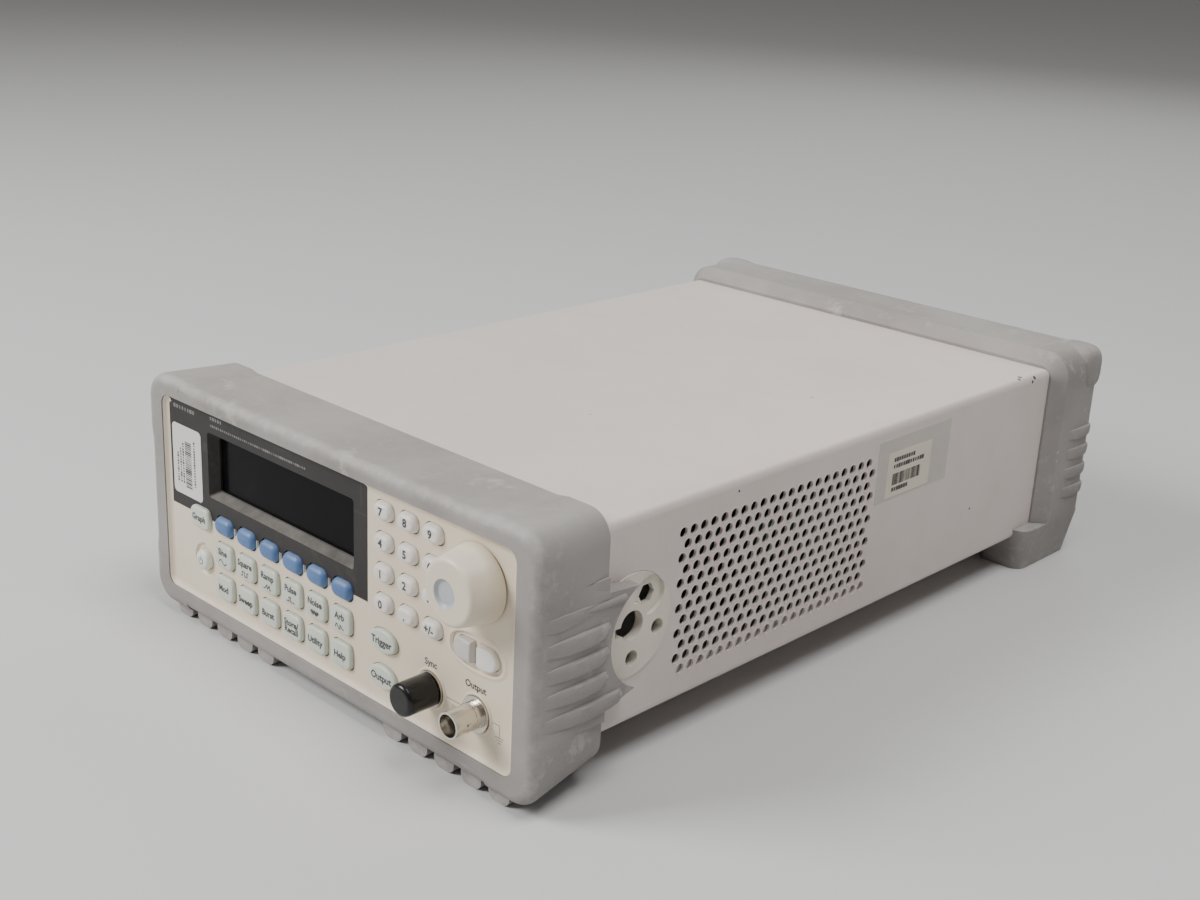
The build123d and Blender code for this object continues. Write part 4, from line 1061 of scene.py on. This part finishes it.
@dataclass
class KeyCap:
    """One key: its stem, flange and sculpted cap, with its legend."""

    node: str
    form: KeyForm
    finish: Finish
    slot: str
    corner: float = 2.3 * MM
    flange: float = 1.05 * MM
    flange_wall: float = 0.8 * MM
    shoulder: float = 0.9 * MM
    lip: float = 0.6 * MM
    chamfer: float = 0.1 * MM
    centre: Point = field(init=False)
    half: Point = field(init=False)

    def __post_init__(self) -> None:
        """Read the key's place and size from its packed node."""
        low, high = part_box(self.node)
        self.centre = ((low.x + high.x) / 2, (low.z + high.z) / 2)
        self.half = ((high.x - low.x) / 2 - self.flange, (high.z - low.z) / 2 - self.flange)
        self.front, self.back = low.y, high.y

    def outline(self, grow: float, steps: int = 9) -> list[Point]:
        """Draw the key's outline.

        Args:
            grow: How far it is grown, or shrunk if negative.
            steps: Points in each quarter turn.

        Returns:
            X and Z of each point, from the key's middle.
        """
        a, b = self.half[0] + grow, self.half[1] + grow
        turns = [math.radians(90 * q + 90 * i / steps) for q in range(4) for i in range(steps + 1)]
        if self.form in (KeyForm.OVAL, KeyForm.POWER):
            return [(a * math.cos(t + 1e-4 * i), b * math.sin(t + 1e-4 * i)) for i, t in enumerate(turns)]
        if self.form in (KeyForm.ARROW_LEFT, KeyForm.ARROW_RIGHT):
            side = 1 if self.form is KeyForm.ARROW_RIGHT else -1
            round_end = [(a - b + b * math.cos(t), b * math.sin(t)) for t in
                         [math.radians(-90 + 180 * i / (2 * steps + 1)) for i in range(2 * steps + 2)]]
            small = min(0.5 * MM, b / 2)
            flat_end = []
            for q, (cx, cz) in ((1, (-a + small, b - small)), (2, (-a + small, -b + small))):
                flat_end += [(cx + small * math.cos(math.radians(90 * q + 90 * i / steps)),
                              cz + small * math.sin(math.radians(90 * q + 90 * i / steps))) for i in range(steps + 1)]
            return [(side * x, z) for x, z in round_end + flat_end]
        radius = min(max(self.corner + grow, 0.2 * MM), a, b)
        x, z = a - radius, b - radius
        corners = [corner for corner in ((x, z), (-x, z), (-x, -z), (x, -z)) for _ in range(steps + 1)]
        return [(cx + radius * math.cos(t), cz + radius * math.sin(t)) for (cx, cz), t in zip(corners, turns)]

    def relief(self, x: float, z: float) -> float:
        """Give the face's height over its shoulder.

        Args:
            x: Distance from the middle, to the right.
            z: Distance from the middle, upwards.

        Returns:
            The height in metres, towards the user.
        """
        u, v = x / self.half[0], z / self.half[1]
        edge = max(0.0, 1.0 - u * u) * max(0.0, 1.0 - v * v)
        if self.form is KeyForm.SOFT:
            ridge = 1.0 - abs(v - 0.12) / 1.1
            return MM * (0.75 * ridge * math.sqrt(max(0.0, 1.0 - u * u)) + 0.15 * edge)
        if self.form is KeyForm.NUMBER:
            reach = math.sqrt((u / 0.72) ** 2 + (v / 0.70) ** 2)
            return MM * (0.75 if reach < 1 else max(0.0, 0.75 - 1.35 * (reach - 1)))
        if self.form is KeyForm.POWER:
            return MM * 0.7 * max(0.0, 1.0 - u * u - v * v)
        if self.form is KeyForm.ARROW_LEFT:
            return MM * (0.55 * (0.5 + 0.5 * u) + 0.15 * edge)
        if self.form is KeyForm.ARROW_RIGHT:
            return MM * (0.55 * (0.5 - 0.5 * u) + 0.25 * edge)
        return MM * 0.32 * edge ** 0.6

    def face(self, x: float, z: float) -> float:
        """Give Y of the key's face at a place measured from its middle."""
        return self.front + self.lip - self.relief(x, z)

    def build(self) -> bpy.types.Object:
        """Build the cap and stand it in for the packed key.

        Returns:
            The piece.
        """
        cx, cz = self.centre
        flange_front = self.back - self.flange_wall
        base = self.front + self.lip + self.shoulder

        def ring(grow: float, y: float) -> Ring:
            """Place the grown outline at one depth."""
            return [(cx + x, y, cz + z) for x, z in self.outline(grow)]

        edge, small = self.flange, self.chamfer
        rings = [ring(-1.0 * MM, self.back), ring(edge - small, self.back), ring(edge, self.back - small),
                 ring(edge, flange_front + small), ring(edge - small, flange_front), ring(1.5 * small, flange_front),
                 ring(0.0, flange_front - 1.5 * small), ring(0.0, base + small), ring(0.0, base)]
        for i in range(1, 6):
            t = math.radians(90 * i / 5)
            inset = self.shoulder * (1 - math.cos(t))
            outline = self.outline(-inset)
            rise = math.sin(t)
            rings.append([(cx + x, base - self.shoulder * rise - self.relief(x, z) * rise ** 2, cz + z)
                          for x, z in outline])
        last = self.outline(-self.shoulder)
        for i in range(1, 9):
            s = 1 - i / 8.6
            rings.append([(cx + s * x, self.face(s * x, s * z), cz + s * z) for x, z in last])
        piece = mesh_object(self.node + "_cap", skin_rings(self.node + "_cap", rings), self.finish,
                            self.node + "_body", sharp=50.0)
        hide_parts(self.node)
        return piece

    def legend(self, parts: Sequence[bpy.types.Mesh], finish: Finish = INK_DARK) -> bpy.types.Object:
        """Print a legend that follows the key's face.

        Args:
            parts: Lettering and strokes made at Y 0, from the key's own middle.
            finish: The ink.

        Returns:
            The piece.
        """
        mesh = join_meshes(self.node + "_legend", parts)
        for vertex in mesh.vertices:
            x, z = vertex.co.x, vertex.co.z
            vertex.co = (self.centre[0] + x, self.face(x, z) - 0.00003 + vertex.co.y, self.centre[1] + z)
        return mesh_object(self.node + "_legend", mesh, finish, self.node + "_body", sharp=30.0)


class WaveIcon(Enum):
    """The small drawings printed on the waveform keys, as X and Z in millimetres."""

    SINE = tuple((-2.4 + 4.8 * i / 16, 0.95 * math.sin(2 * math.pi * i / 16)) for i in range(17))
    SQUARE = ((-2.4, -0.9), (-1.6, -0.9), (-1.6, 0.9), (0.0, 0.9), (0.0, -0.9), (1.6, -0.9), (1.6, 0.9), (2.4, 0.9))
    RAMP = ((-2.4, -0.9), (-1.6, -0.9), (0.0, 0.9), (0.0, -0.9), (1.6, 0.9), (1.6, -0.9), (2.4, -0.9))
    PULSE = ((-2.4, -0.9), (-0.9, -0.9), (-0.9, 0.9), (0.1, 0.9), (0.1, -0.9), (2.4, -0.9))
    NOISE = ((-2.4, 0.0), (-2.0, 0.8), (-1.7, -0.7), (-1.3, 1.0), (-1.0, -1.0), (-0.6, 0.7), (-0.3, -0.5), (0.1, 1.0),
             (0.5, -0.9), (0.8, 0.5), (1.1, -1.0), (1.5, 0.9), (1.8, -0.4), (2.1, 0.7), (2.4, 0.0))
    ARBITRARY = ((-2.4, -0.6), (-1.9, 0.7), (-1.4, 0.9), (-0.8, -0.1), (-0.3, -0.9), (0.4, -0.8), (0.4, 0.8),
                 (1.2, 0.2), (1.6, -0.5), (2.4, -0.7))


@dataclass
class Keyboard:
    """Every key of the front panel."""

    digit_size: float = 4.2 * MM
    word_size: float = 3.6 * MM
    word_width: float = 9.4 * MM
    word_weight: float = 0.11 * MM
    oval_width: float = 11.5 * MM
    digit_weight: float = 0.14 * MM
    power_radius: float = 1.35 * MM
    stroke: float = 0.42 * MM

    def build(self) -> int:
        """Build all caps and legends.

        Returns:
            How many keys there are.
        """
        for i in range(1, 7):
            KeyCap(f"soft_key_{i}", KeyForm.SOFT, SOFT_BLUE, "soft_key_plastic", corner=3.6 * MM,
                   shoulder=1.9 * MM).build()
        waves = (("sine", "Sine", WaveIcon.SINE), ("square", "Square", WaveIcon.SQUARE),
                 ("ramp", "Ramp", WaveIcon.RAMP), ("pulse", "Pulse", WaveIcon.PULSE),
                 ("noise", "Noise", WaveIcon.NOISE), ("arbitrary", "Arb", WaveIcon.ARBITRARY))
        for stem, word, icon in waves:
            key = self._pale(f"{stem}_key", KeyForm.FUNCTION)
            line = stroke_mesh([(x * MM, z * MM) for x, z in icon.value], self.stroke, (0.0, -2.2 * MM), 0.0)
            key.legend([text_mesh(word, self.word_size, (0.0, 1.8 * MM), 0.0, self.word_weight, self.word_width),
                        line])
        words = (("modulate_key", "Mod"), ("sweep_key", "Sweep"), ("burst_key", "Burst"),
                 ("store_recall_key", "Store/\nRecall"), ("utility_key", "Utility"), ("help_key", "Help"),
                 ("graph_key", "Graph"))
        ovals = (("trigger_key", "Trigger"), ("output_key", "Output"))
        for group, form, size, width in ((words, KeyForm.FUNCTION, self.word_size, self.word_width),
                                         (ovals, KeyForm.OVAL, self.word_size * 1.08, self.oval_width)):
            for node, word in group:
                self._pale(node, form).legend([text_mesh(word, size, (0.0, 0.0), 0.0, self.word_weight, width)])
        numbers = [(f"key_{d}", str(d)) for d in range(10)] + [("point_key", "."), ("sign_key", "+/-")]
        for node, word in numbers:
            key = KeyCap(node, KeyForm.NUMBER, KEY_WHITE, "digit_key_plastic", corner=3.4 * MM,
                         shoulder=1.7 * MM)
            key.build()
            key.legend([text_mesh(word, self.digit_size, (0.0, 0.0), 0.0, self.digit_weight, 6.0 * MM)])
        # The left cursor key takes the grey finish, a painted shadow of the knob; the right one takes the plain white
        # finish.
        for side, form, finish in (("left", KeyForm.ARROW_LEFT, CURSOR_KEY_PAINTED_SHADOW), ("right", KeyForm.ARROW_RIGHT, KEY_WHITE)):
            KeyCap(f"cursor_{side}_key", form, finish, "digit_key_plastic", shoulder=0.7 * MM).build()
        power = KeyCap("power_key", KeyForm.POWER, POWER_WHITE, "power_key_plastic", shoulder=1.2 * MM)
        power.build()
        arc = [(self.power_radius * math.sin(math.radians(t)), self.power_radius * math.cos(math.radians(t)))
               for t in range(35, 330, 15)]
        power.legend([stroke_mesh(arc, self.stroke, (0.0, 0.0), 0.0),
                      stroke_mesh([(0.0, 0.4 * MM), (0.0, 1.9 * MM)], self.stroke, (0.0, 0.0), 0.0)], INK_GREEN)
        return 6 + len(waves) + len(words) + len(ovals) + len(numbers) + 3

    def _pale(self, node: str, form: KeyForm) -> KeyCap:
        """Build one pale translucent key and return it."""
        key = KeyCap(node, form, KEY_PALE, "function_key_plastic", corner=3.0 * MM)
        key.build()
        return key


# ---------------------------------------------------------------- front panel
@dataclass
class PanelDress:
    """Finishes, rim, stickers and print of the front panel."""

    opening_half: Point = (103.8 * MM, 41.2 * MM)
    opening_radius: float = 4.5 * MM
    opening_mid: float = 54.05 * MM
    sticker: tuple[float, float, float, float] = (-99.4 * MM, -79.0 * MM, 54.9 * MM, 84.4 * MM)

    def build(self) -> None:
        """Dress the panel and build its trim."""
        dress({"front_panel": PANEL_IVORY, "display_mask": MASK_GREY, "display_window": LENS_BLACK,
               "display_module": BLACK_PLASTIC, "keypad_mat": SILICONE, "keypad_board": BOARD_GREEN})
        self._rim()
        self._teeth()
        self._sticker()
        self._print()
        self._arrow_bed()

    def _rim(self) -> None:
        """Build the hollow fillet that runs up to the bumper's edge, except over the mask."""
        low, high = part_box("display_mask")
        a, b, r, mid = *self.opening_half, self.opening_radius, self.opening_mid
        path = [(high.x + 0.3 * MM, b, 0.0, 1.0), (a - r - 1 * MM, b, 0.0, 1.0)]
        for sx, sz, start in ((1, 1, 90), (1, -1, 0), (-1, -1, 270), (-1, 1, 180)):
            for i in range(9):
                t = math.radians(start - 90 * i / 8)
                path.append((sx * (a - r) + r * math.cos(t), sz * (b - r) + r * math.sin(t), math.cos(t), math.sin(t)))
        path.append((low.x - 0.25 * MM, b, 0.0, 1.0))
        section = [(-0.05, 0.4), (-0.05, -1.25), (0.25, -1.45), (0.6, -1.2), (0.95, -0.75), (1.45, -0.38), (2.1, -0.12),
                   (2.8, -0.01), (2.8, 0.4)]
        form = bmesh.new()
        rows = [[form.verts.new((x - nx * i * MM, PANEL_FACE + y * MM, mid + z - nz * i * MM))
                 for i, y in section] for x, z, nx, nz in path]
        for first, second in zip(rows, rows[1:]):
            quad_strip(form, first, second)
        form.faces.new(rows[0])
        form.faces.new(rows[-1])
        mesh_object("panel_rim", plain_mesh("panel_rim", form), PANEL_IVORY, "case", sharp=60.0)

    def _teeth(self) -> None:
        """Build the small teeth between the soft keys, at the mask's lower edge."""
        low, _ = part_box("display_mask")
        first = KeyCap("soft_key_1", KeyForm.SOFT, SOFT_BLUE, "soft_key_plastic").centre
        second = KeyCap("soft_key_2", KeyForm.SOFT, SOFT_BLUE, "soft_key_plastic").centre
        pitch = second[0] - first[0]
        start = Vector((first[0] + pitch / 2, PANEL_FACE - 0.02 * MM, low.z + 0.35 * MM))
        mesh = tooth_row_pattern(PANEL_IVORY).mesh("mask_teeth", Start=start, Pitch=pitch)
        mesh_object("mask_teeth", mesh, PANEL_IVORY, "case")

    def _sticker(self) -> None:
        """Build the rounded white sticker with plain bars."""
        x0, x1, z0, z1 = self.sticker
        face = PANEL_FACE
        outline = []
        for cx, cz, start in ((x1 - 2 * MM, z1 - 2 * MM, 0), (x0 + 2 * MM, z1 - 2 * MM, 90),
                              (x0 + 2 * MM, z0 + 2 * MM, 180), (x1 - 2 * MM, z0 + 2 * MM, 270)):
            for t in (math.radians(start + 15 * i) for i in range(7)):
                outline.append((cx + 2 * MM * math.cos(t), cz + 2 * MM * math.sin(t)))
        rings = [[(x, y, z) for x, z in outline] for y in (face - 0.01 * MM, face - 0.11 * MM)]
        mesh_object("mask_sticker", skin_rings("mask_sticker", rings), LABEL_WHITE, "case")
        bars = bar_row_pattern(INK_DARK)
        y = face - 0.12 * MM
        rows = [bars.mesh("sticker_bars", Start=Vector((x0 + 11.0 * MM, y, z0 + 4.0 * MM)),
                          Step=Vector((0, 0, 0.82 * MM)), Bar=Vector((4.4 * MM, PRINT_THICK, 0.5 * MM)),
                          Spread=Vector((0, 0, 0.28 * MM)), Count=24, Seed=4)]
        for column, (offset, seed) in enumerate(((3.6, 7), (5.6, 9), (7.4, 12), (15.4, 15))):
            rows.append(bars.mesh(f"sticker_words_{column}", Start=Vector((x0 + offset * MM, y, z0 + 5.5 * MM)),
                                  Step=Vector((0, 0, 1.15 * MM)), Bar=Vector((1.0 * MM, PRINT_THICK, 0.75 * MM)),
                                  Spread=Vector((0.12 * MM, 0, 0.28 * MM)), Count=11 + column * 2, Seed=seed))
        case_piece("sticker_print", rows, INK_DARK)
        lines = ((-97.0, 91.6, 1.9, 1.5, 8), (-71.5, 92.6, 1.7, 1.3, 5), (-71.5, 89.6, 1.35, 0.85, 46))
        title = [bars.mesh(f"mask_line_{row}", Start=Vector((x * MM, face - 0.02 * MM, z * MM)),
                           Step=Vector((step * MM, 0, 0)), Bar=Vector((step * 0.62 * MM, PRINT_THICK, tall * MM)),
                           Spread=Vector((step * 0.3 * MM, 0, 0.12 * MM)), Count=count, Seed=21 + row)
                 for row, (x, z, step, tall, count) in enumerate(lines)]
        case_piece("mask_print", title, INK_PALE)

    def _print(self) -> None:
        """Print the socket names, the line between them and the ground sign."""
        y = PANEL_FACE
        low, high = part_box("front_jacks")
        level = (low.z + high.z) / 2
        parts = [text_mesh("Sync", 3.5 * MM, (60.7 * MM, level + 9.4 * MM), y, 0.00010),
                 text_mesh("Output", 3.5 * MM, (83.8 * MM, level + 9.6 * MM), y, 0.00010),
                 text_mesh("50 ohm", 2.0 * MM, (75.0 * MM, level - 2.4 * MM), y)]
        thin = 0.22 * MM
        parts.append(stroke_mesh([(69.2 * MM, 0.0), (76.8 * MM, 0.0)], thin, (0.0, level), y))
        parts.append(stroke_mesh([(92.6 * MM, 0.0), (96.0 * MM, 0.0), (96.0 * MM, -4.6 * MM)], thin, (0.0, level), y))
        for i, half in enumerate((2.0, 1.35, 0.7)):
            z = (-4.6 - 1.0 * i) * MM
            parts.append(stroke_mesh([((96.0 - half) * MM, z), ((96.0 + half) * MM, z)], thin, (0.0, level), y))
        case_piece("panel_print", parts, INK_DARK)

    def _arrow_bed(self) -> None:
        """Raise the soft bead round the two cursor keys' bed."""
        left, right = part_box("cursor_left_key"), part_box("cursor_right_key")
        mid = ((left[0].x + right[1].x) / 2, (left[0].z + left[1].z) / 2)
        a, b = (right[1].x - left[0].x) / 2 + 1.3 * MM, (left[1].z - left[0].z) / 2 + 1.2 * MM
        rings = []
        for grow, y in ((0.0, 0.3), (0.0, -0.02), (0.25, -0.32), (0.7, -0.42), (1.2, -0.3), (1.9, -0.02), (1.9, 0.3)):
            outline = []
            for i in range(64):
                t = 2 * math.pi * i / 64
                across, up = math.cos(t), math.sin(t)
                outline.append((mid[0] + (a + grow * MM) * math.copysign(abs(across) ** 0.9, across),
                                PANEL_FACE + y * MM, mid[1] + (b + grow * MM) * math.copysign(abs(up) ** 0.75, up)))
            rings.append(outline)
        mesh_object("cursor_bed_bead", skin_rings("cursor_bed_bead", rings, loop=True), PANEL_IVORY, "case",
                    sharp=60.0)


@dataclass
class KnobDress:
    """The turning knob and its encoder."""

    dish_offset: Point = (-1.4 * MM, -0.7 * MM)
    dish_depth: float = 1.3 * MM

    def build(self) -> None:
        """Dress the knob, with its grey thumb dish."""
        low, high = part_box("knob")
        dish = ((low.x + high.x) / 2 + self.dish_offset[0], (low.z + high.z) / 2 + self.dish_offset[1])
        ivory = DishFinish("knob_ivory", (0.74, 0.655, 0.515), (0.70, 0.61, 0.475), roughness=0.42,
                           cells=2600.0, bump=0.06, speckle=0.1, scuff=0.22, dust=0.15,
                           rub_colour=(0.62, 0.57, 0.48), dish_at=dish, dish_front=low.y + self.dish_depth)
        dress({"knob": ivory, "encoder": ZINC})


@dataclass
class SocketDress:
    """The coaxial sockets, their contacts, collars and the dust cap."""

    def build(self) -> None:
        """Dress the sockets and build their small parts."""
        dress({"front_jacks": NICKEL, "rear_jacks": NICKEL, "bnc_insulators": INSULATOR, "dust_cap": VINYL})
        low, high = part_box("front_jacks")
        level = (low.z + high.z) / 2
        reach = (high.z - low.z) / 2
        places = (low.x + reach, high.x - reach)
        collar = ((6.75, 0.2), (6.75, -0.45), (7.05, -0.6), (7.5, -0.5), (7.9, 0.2))
        collars = [lathe(f"collar_{i}", [(r * MM, PANEL_FACE + y * MM) for r, y in collar], (x, level))
                   for i, x in enumerate(places)]
        case_piece("socket_collars", collars, PANEL_IVORY, sharp=60.0)
        contact = ((0.62, 8.9), (0.62, 3.9), (0.5, 3.7), (0.32, 3.9), (0.32, 8.9))
        parts = [lathe(f"contact_{i}", [(r * MM, low.y + y * MM) for r, y in contact], (x, level), 20)
                 for i, x in enumerate(places)]
        case_piece("socket_contacts", parts, BRASS_CONTACT)
        band = ((4.7, 0.0), (4.98, 0.1), (4.98, 0.5), (4.7, 0.6))
        bands = [lathe(f"band_{i}", [(r * MM, PANEL_FACE - (start + y) * MM) for r, y in band], (places[1], level))
                 for i, start in enumerate((1.9, 3.4))]
        case_piece("socket_bands", bands, NICKEL, sharp=30.0)


@dataclass
class CaseDress:
    """The sleeve, bumpers, handle pivots and the labels on them."""

    vent_start: float = BUMPER_FACE + 77.6 * MM
    vent_top: float = 82.2 * MM
    grip_start: float = BUMPER_FACE + 5.5 * MM
    grip_end: float = BUMPER_FACE + 34.7 * MM
    grip_outer_end: float = BUMPER_FACE + 42.0 * MM
    grip_mid: float = 52.3 * MM
    grip_pitch: float = 9.05 * MM
    block_x: float = 91.0 * MM
    block_low: float = 26.9 * MM
    block_high: float = 79.0 * MM
    fairing_top: float = 99.4 * MM
    fairing_side: float = 107.2 * MM
    fairing_rear: float = -0.1426
    fairing_front: float = -0.168
    fairing_start: float = -6.5 * MM
    fairing_width: float = 7.1 * MM
    rib_tall: float = 4.9 * MM
    rib_rise: float = 1.9 * MM
    rib_lift: float = 2.4 * MM
    ear_half: Point3 = (11.5 * MM, 9.0 * MM, 11.0 * MM)

    def build(self) -> None:
        """Dress the case and build its trim."""
        dress({"cover_sleeve": POWDER_COAT, "front_bumper": FRONT_RUBBER, "rear_bumper": REAR_RUBBER,
               "handle_pivots": PIVOT_CREAM, "chassis_tray": ZINC, "circuit_boards": BOARD_GREEN,
               "fasteners": ZINC})
        self._vent_rims()
        self._side_label()
        self._fairings()
        self._front_grips()
        self._rear_grips()
        self._ears()

    def _front_grips(self) -> None:
        """Build the five finger grips on each side of the front bumper."""
        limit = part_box("front_bumper")[1].x
        probe = SurfaceProbe("front_bumper")
        ribs = []
        for sign in (-1, 1):
            for i in range(-2, 3):
                end = self.grip_outer_end if abs(i) == 2 else self.grip_end
                top = self.grip_mid + i * self.grip_pitch + self.rib_lift
                ribs.append(grip_rib(probe, sign, (self.grip_start, end), top, self.rib_tall, self.rib_rise,
                                     2.0 * MM, limit))
        case_piece("front_grips", ribs, FRONT_RUBBER, sharp=38.0)

    def _fairings(self) -> None:
        """Soften the steps where the front bumper's corner blocks begin."""
        probe = SurfaceProbe("front_bumper")
        strips = []
        for sign in (-1, 1):
            strips.append(self._fairing(probe, Vector((0, 0, 1)), lambda u: Vector((u, 0, self.fairing_top)),
                                        sign * self.block_x, sign))
            for edge, way in ((self.block_high, 1), (self.block_low, -1)):
                strips.append(self._fairing(probe, Vector((sign, 0, 0)),
                                            lambda u: Vector((sign * self.fairing_side, 0, u)), edge, way))
        case_piece("corner_fairings", strips, FRONT_RUBBER, sharp=70.0)

    def _fairing(self, probe: SurfaceProbe, outward: Vector, root: Callable[[float], Vector], edge: float,
                 way: int) -> bpy.types.Mesh:
        """Build one strip that rises smoothly from the plain surface to a corner block.

        Args:
            probe: The bumper's surface.
            outward: Away from the bumper's middle.
            root: Gives a point inside the rubber for a place across the strip, at Y 0.
            edge: Where the block begins, across the strip.
            way: 1 where the block lies on the greater side of the edge, -1 where on the smaller.

        Returns:
            The mesh.
        """
        run = self.fairing_front - self.fairing_rear
        stations = [(self.fairing_rear + run * i / 7, 0.0) for i in range(8)]
        stations += [(self.fairing_front, math.radians(a)) for a in range(9, 91, 9)]
        rows = []
        for y, turn in stations:
            aim = outward * math.cos(turn) + Vector((0, -1, 0)) * math.sin(turn)

            def reach(u: float) -> float:
                """Measure from the root to the surface along this station's aim."""
                hit = probe.tree.ray_cast(root(u) + Vector((0, y, 0)), aim)
                return hit[3] if hit[0] else 0.0

            plain, block = reach(edge - way * 7.5 * MM), reach(edge + way * 1.5 * MM)
            row = []
            for i in range(10):
                s = i / 9
                u = edge + way * (self.fairing_start + self.fairing_width * s)
                lift = plain + (block - plain) * s * s * (3 - 2 * s) + 0.025 * MM
                row.append(tuple(root(u) + Vector((0, y, 0)) + aim * lift))
            for s in (1.0, 0.5, 0.0):
                u = edge + way * (self.fairing_start + self.fairing_width * s)
                row.append(tuple(root(u) + Vector((0, y, 0)) + aim * (plain - 0.5 * MM)))
            rows.append(row)
        return skin_rings("fairing", rows)

    def _rear_grips(self) -> None:
        """Build the finger grips on each side of the rear bumper."""
        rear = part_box("rear_bumper")[1].y
        probe = SurfaceProbe("rear_bumper")
        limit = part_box("front_bumper")[1].x
        ribs = [grip_rib(probe, sign, (rear - 24 * MM, rear - 3 * MM), (36.0 + 9.6 * i) * MM,
                         4.6 * MM, 1.4 * MM, 2.4 * MM, limit) for sign in (-1, 1) for i in range(4)]
        case_piece("rear_grips", ribs, REAR_RUBBER, sharp=38.0)

    def _ears(self) -> None:
        """Build the rounded pads on the rear bumper's upper corners."""
        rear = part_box("rear_bumper")[1].y
        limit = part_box("front_bumper")[1].x
        top = CAD_BOUNDS[1][2]
        half = Vector(self.ear_half)

        def bent(value: float, power: float) -> float:
            """Raise a value to a power and keep its sign."""
            return math.copysign(abs(value) ** power, value)

        pads = []
        for sign in (-1, 1):
            middle = Vector((sign * (limit - half.x), rear - half.y, top - half.z))
            rings = []
            for i in range(1, 24):
                t = math.pi * i / 24
                flat, tall = bent(math.sin(t), 0.6), bent(math.cos(t), 0.6)
                rings.append([(middle.x + half.x * flat * bent(math.cos(u), 0.62),
                               middle.y + half.y * flat * bent(math.sin(u), 0.62),
                               middle.z + half.z * tall) for u in (2 * math.pi * j / 40 for j in range(40))])
            pads.append(skin_rings("ear", rings))
        case_piece("rear_ears", pads, REAR_RUBBER, sharp=60.0)

    def _vent_rims(self) -> None:
        """Build the rolled rims round the vent holes in both sides."""
        low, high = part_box("cover_sleeve")
        pattern = ring_field_pattern(POWDER_COAT)
        for side, x in (("left", low.x), ("right", high.x)):
            mesh = pattern.mesh(f"vent_rims_{side}", Corner=Vector((x, self.vent_start, self.vent_top)))
            mesh_object(f"vent_rims_{side}", mesh, POWDER_COAT, "case", sharp=80.0)

    def _side_label(self) -> None:
        """Build the old tape and the small label on the right side."""
        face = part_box("cover_sleeve")[1].x
        for name, finish, y0, y1, z0, z1, proud in (
                ("side_tape", TAPE_OLD, 18.5, 70.5, 62.5, 89.0, 0.07),
                ("side_label", LABEL_CREAM, 25.5, 57.0, 63.5, 83.0, 0.14)):
            corners = [(y0, z0), (y1, z0), (y1, z1), (y0, z1)]
            sides = zip(corners, corners[1:] + corners[:1])
            steps = [(a[0] + (b[0] - a[0]) * t / 8, a[1] + (b[1] - a[1]) * t / 8) for a, b in sides for t in range(8)]
            rings = [[(face + x * MM, y * MM, z * MM) for y, z in steps] for x in (0.0, proud)]
            mesh_object(name, skin_rings(name, rings), finish, "case")
        bars = bar_row_pattern(INK_DARK)
        x = face + 0.15 * MM
        parts = [bars.mesh("label_code", Start=Vector((x, 30.0 * MM, 71.0 * MM)), Step=Vector((0, 0.78 * MM, 0)),
                           Bar=Vector((PRINT_THICK, 0.48 * MM, 5.0 * MM)), Spread=Vector((0, 0.26 * MM, 0)),
                           Count=26, Seed=3)]
        for row, (z, count, seed) in enumerate(((79.5, 9, 5), (76.6, 13, 8), (66.6, 7, 11))):
            parts.append(bars.mesh(f"label_words_{row}", Start=Vector((x, 30.5 * MM, z * MM)),
                                   Step=Vector((0, 1.7 * MM, 0)), Bar=Vector((PRINT_THICK, 1.3 * MM, 1.7 * MM)),
                                   Spread=Vector((0, 0.35 * MM, 0.2 * MM)), Count=count, Seed=seed))
        case_piece("label_print", parts, INK_DARK)


@dataclass
class RearDress:
    """The rear panel, its ports, inlet and fan."""

    def build(self) -> None:
        """Dress the rear and build its small parts."""
        dress({"rear_panel": REAR_PAINT, "fan_frame": BLACK_PLASTIC, "fan_rotor": BLACK_PLASTIC,
               "power_inlet": BLACK_PLASTIC, "interface_ports": PORT_SHELL})
        self._contacts()
        self._plate()

    def _contacts(self) -> None:
        """Line the network port with a row of contacts."""
        low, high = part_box("interface_ports")
        pattern = bar_row_pattern(BRASS_CONTACT)
        mesh = pattern.mesh("port_contacts", Start=Vector((-5.6 * MM, high.y - 11.0 * MM, 30.6 * MM)),
                            Step=Vector((1.02 * MM, 0, 0)), Bar=Vector((0.35 * MM, 6.0 * MM, 0.5 * MM)), Count=8)
        mesh_object("port_contacts", mesh, BRASS_CONTACT, "case")

    def _plate(self) -> None:
        """Stick a plain rating label beside the fan."""
        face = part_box("rear_panel")[1].y
        pattern = bar_row_pattern(INK_DARK)
        corners = [(-24.5, 66.0), (-24.5, 88.0), (2.0, 88.0), (2.0, 66.0)]
        rings = [[(x * MM, face + y * MM, z * MM) for x, z in corners] for y in (0.0, 0.1)]
        mesh_object("rear_label", skin_rings("rear_label", rings), LABEL_WHITE, "case")
        rows = [pattern.mesh(f"rear_words_{i}", Start=Vector((-22.0 * MM, face + 0.11 * MM, (84.5 - 3.2 * i) * MM)),
                             Step=Vector((2.2 * MM, 0, 0)), Bar=Vector((1.5 * MM, PRINT_THICK, 1.1 * MM)),
                             Spread=Vector((0.5 * MM, 0, 0)), Count=10 - i, Seed=30 + i) for i in range(5)]
        case_piece("rear_print", rows, INK_DARK)


def main() -> None:
    """Build the studio and dress each sub-assembly in order."""
    logging.basicConfig(level=logging.INFO, format="%(message)s")
    steps = {"studio": Studio(), "case": CaseDress(), "front panel": PanelDress(), "keys": Keyboard(),
             "knob": KnobDress(), "sockets": SocketDress(), "rear": RearDress()}
    for name, assembly in steps.items():
        assembly.build()
        LOG.info("built %s", name)


if __name__ == "__main__":
    main()
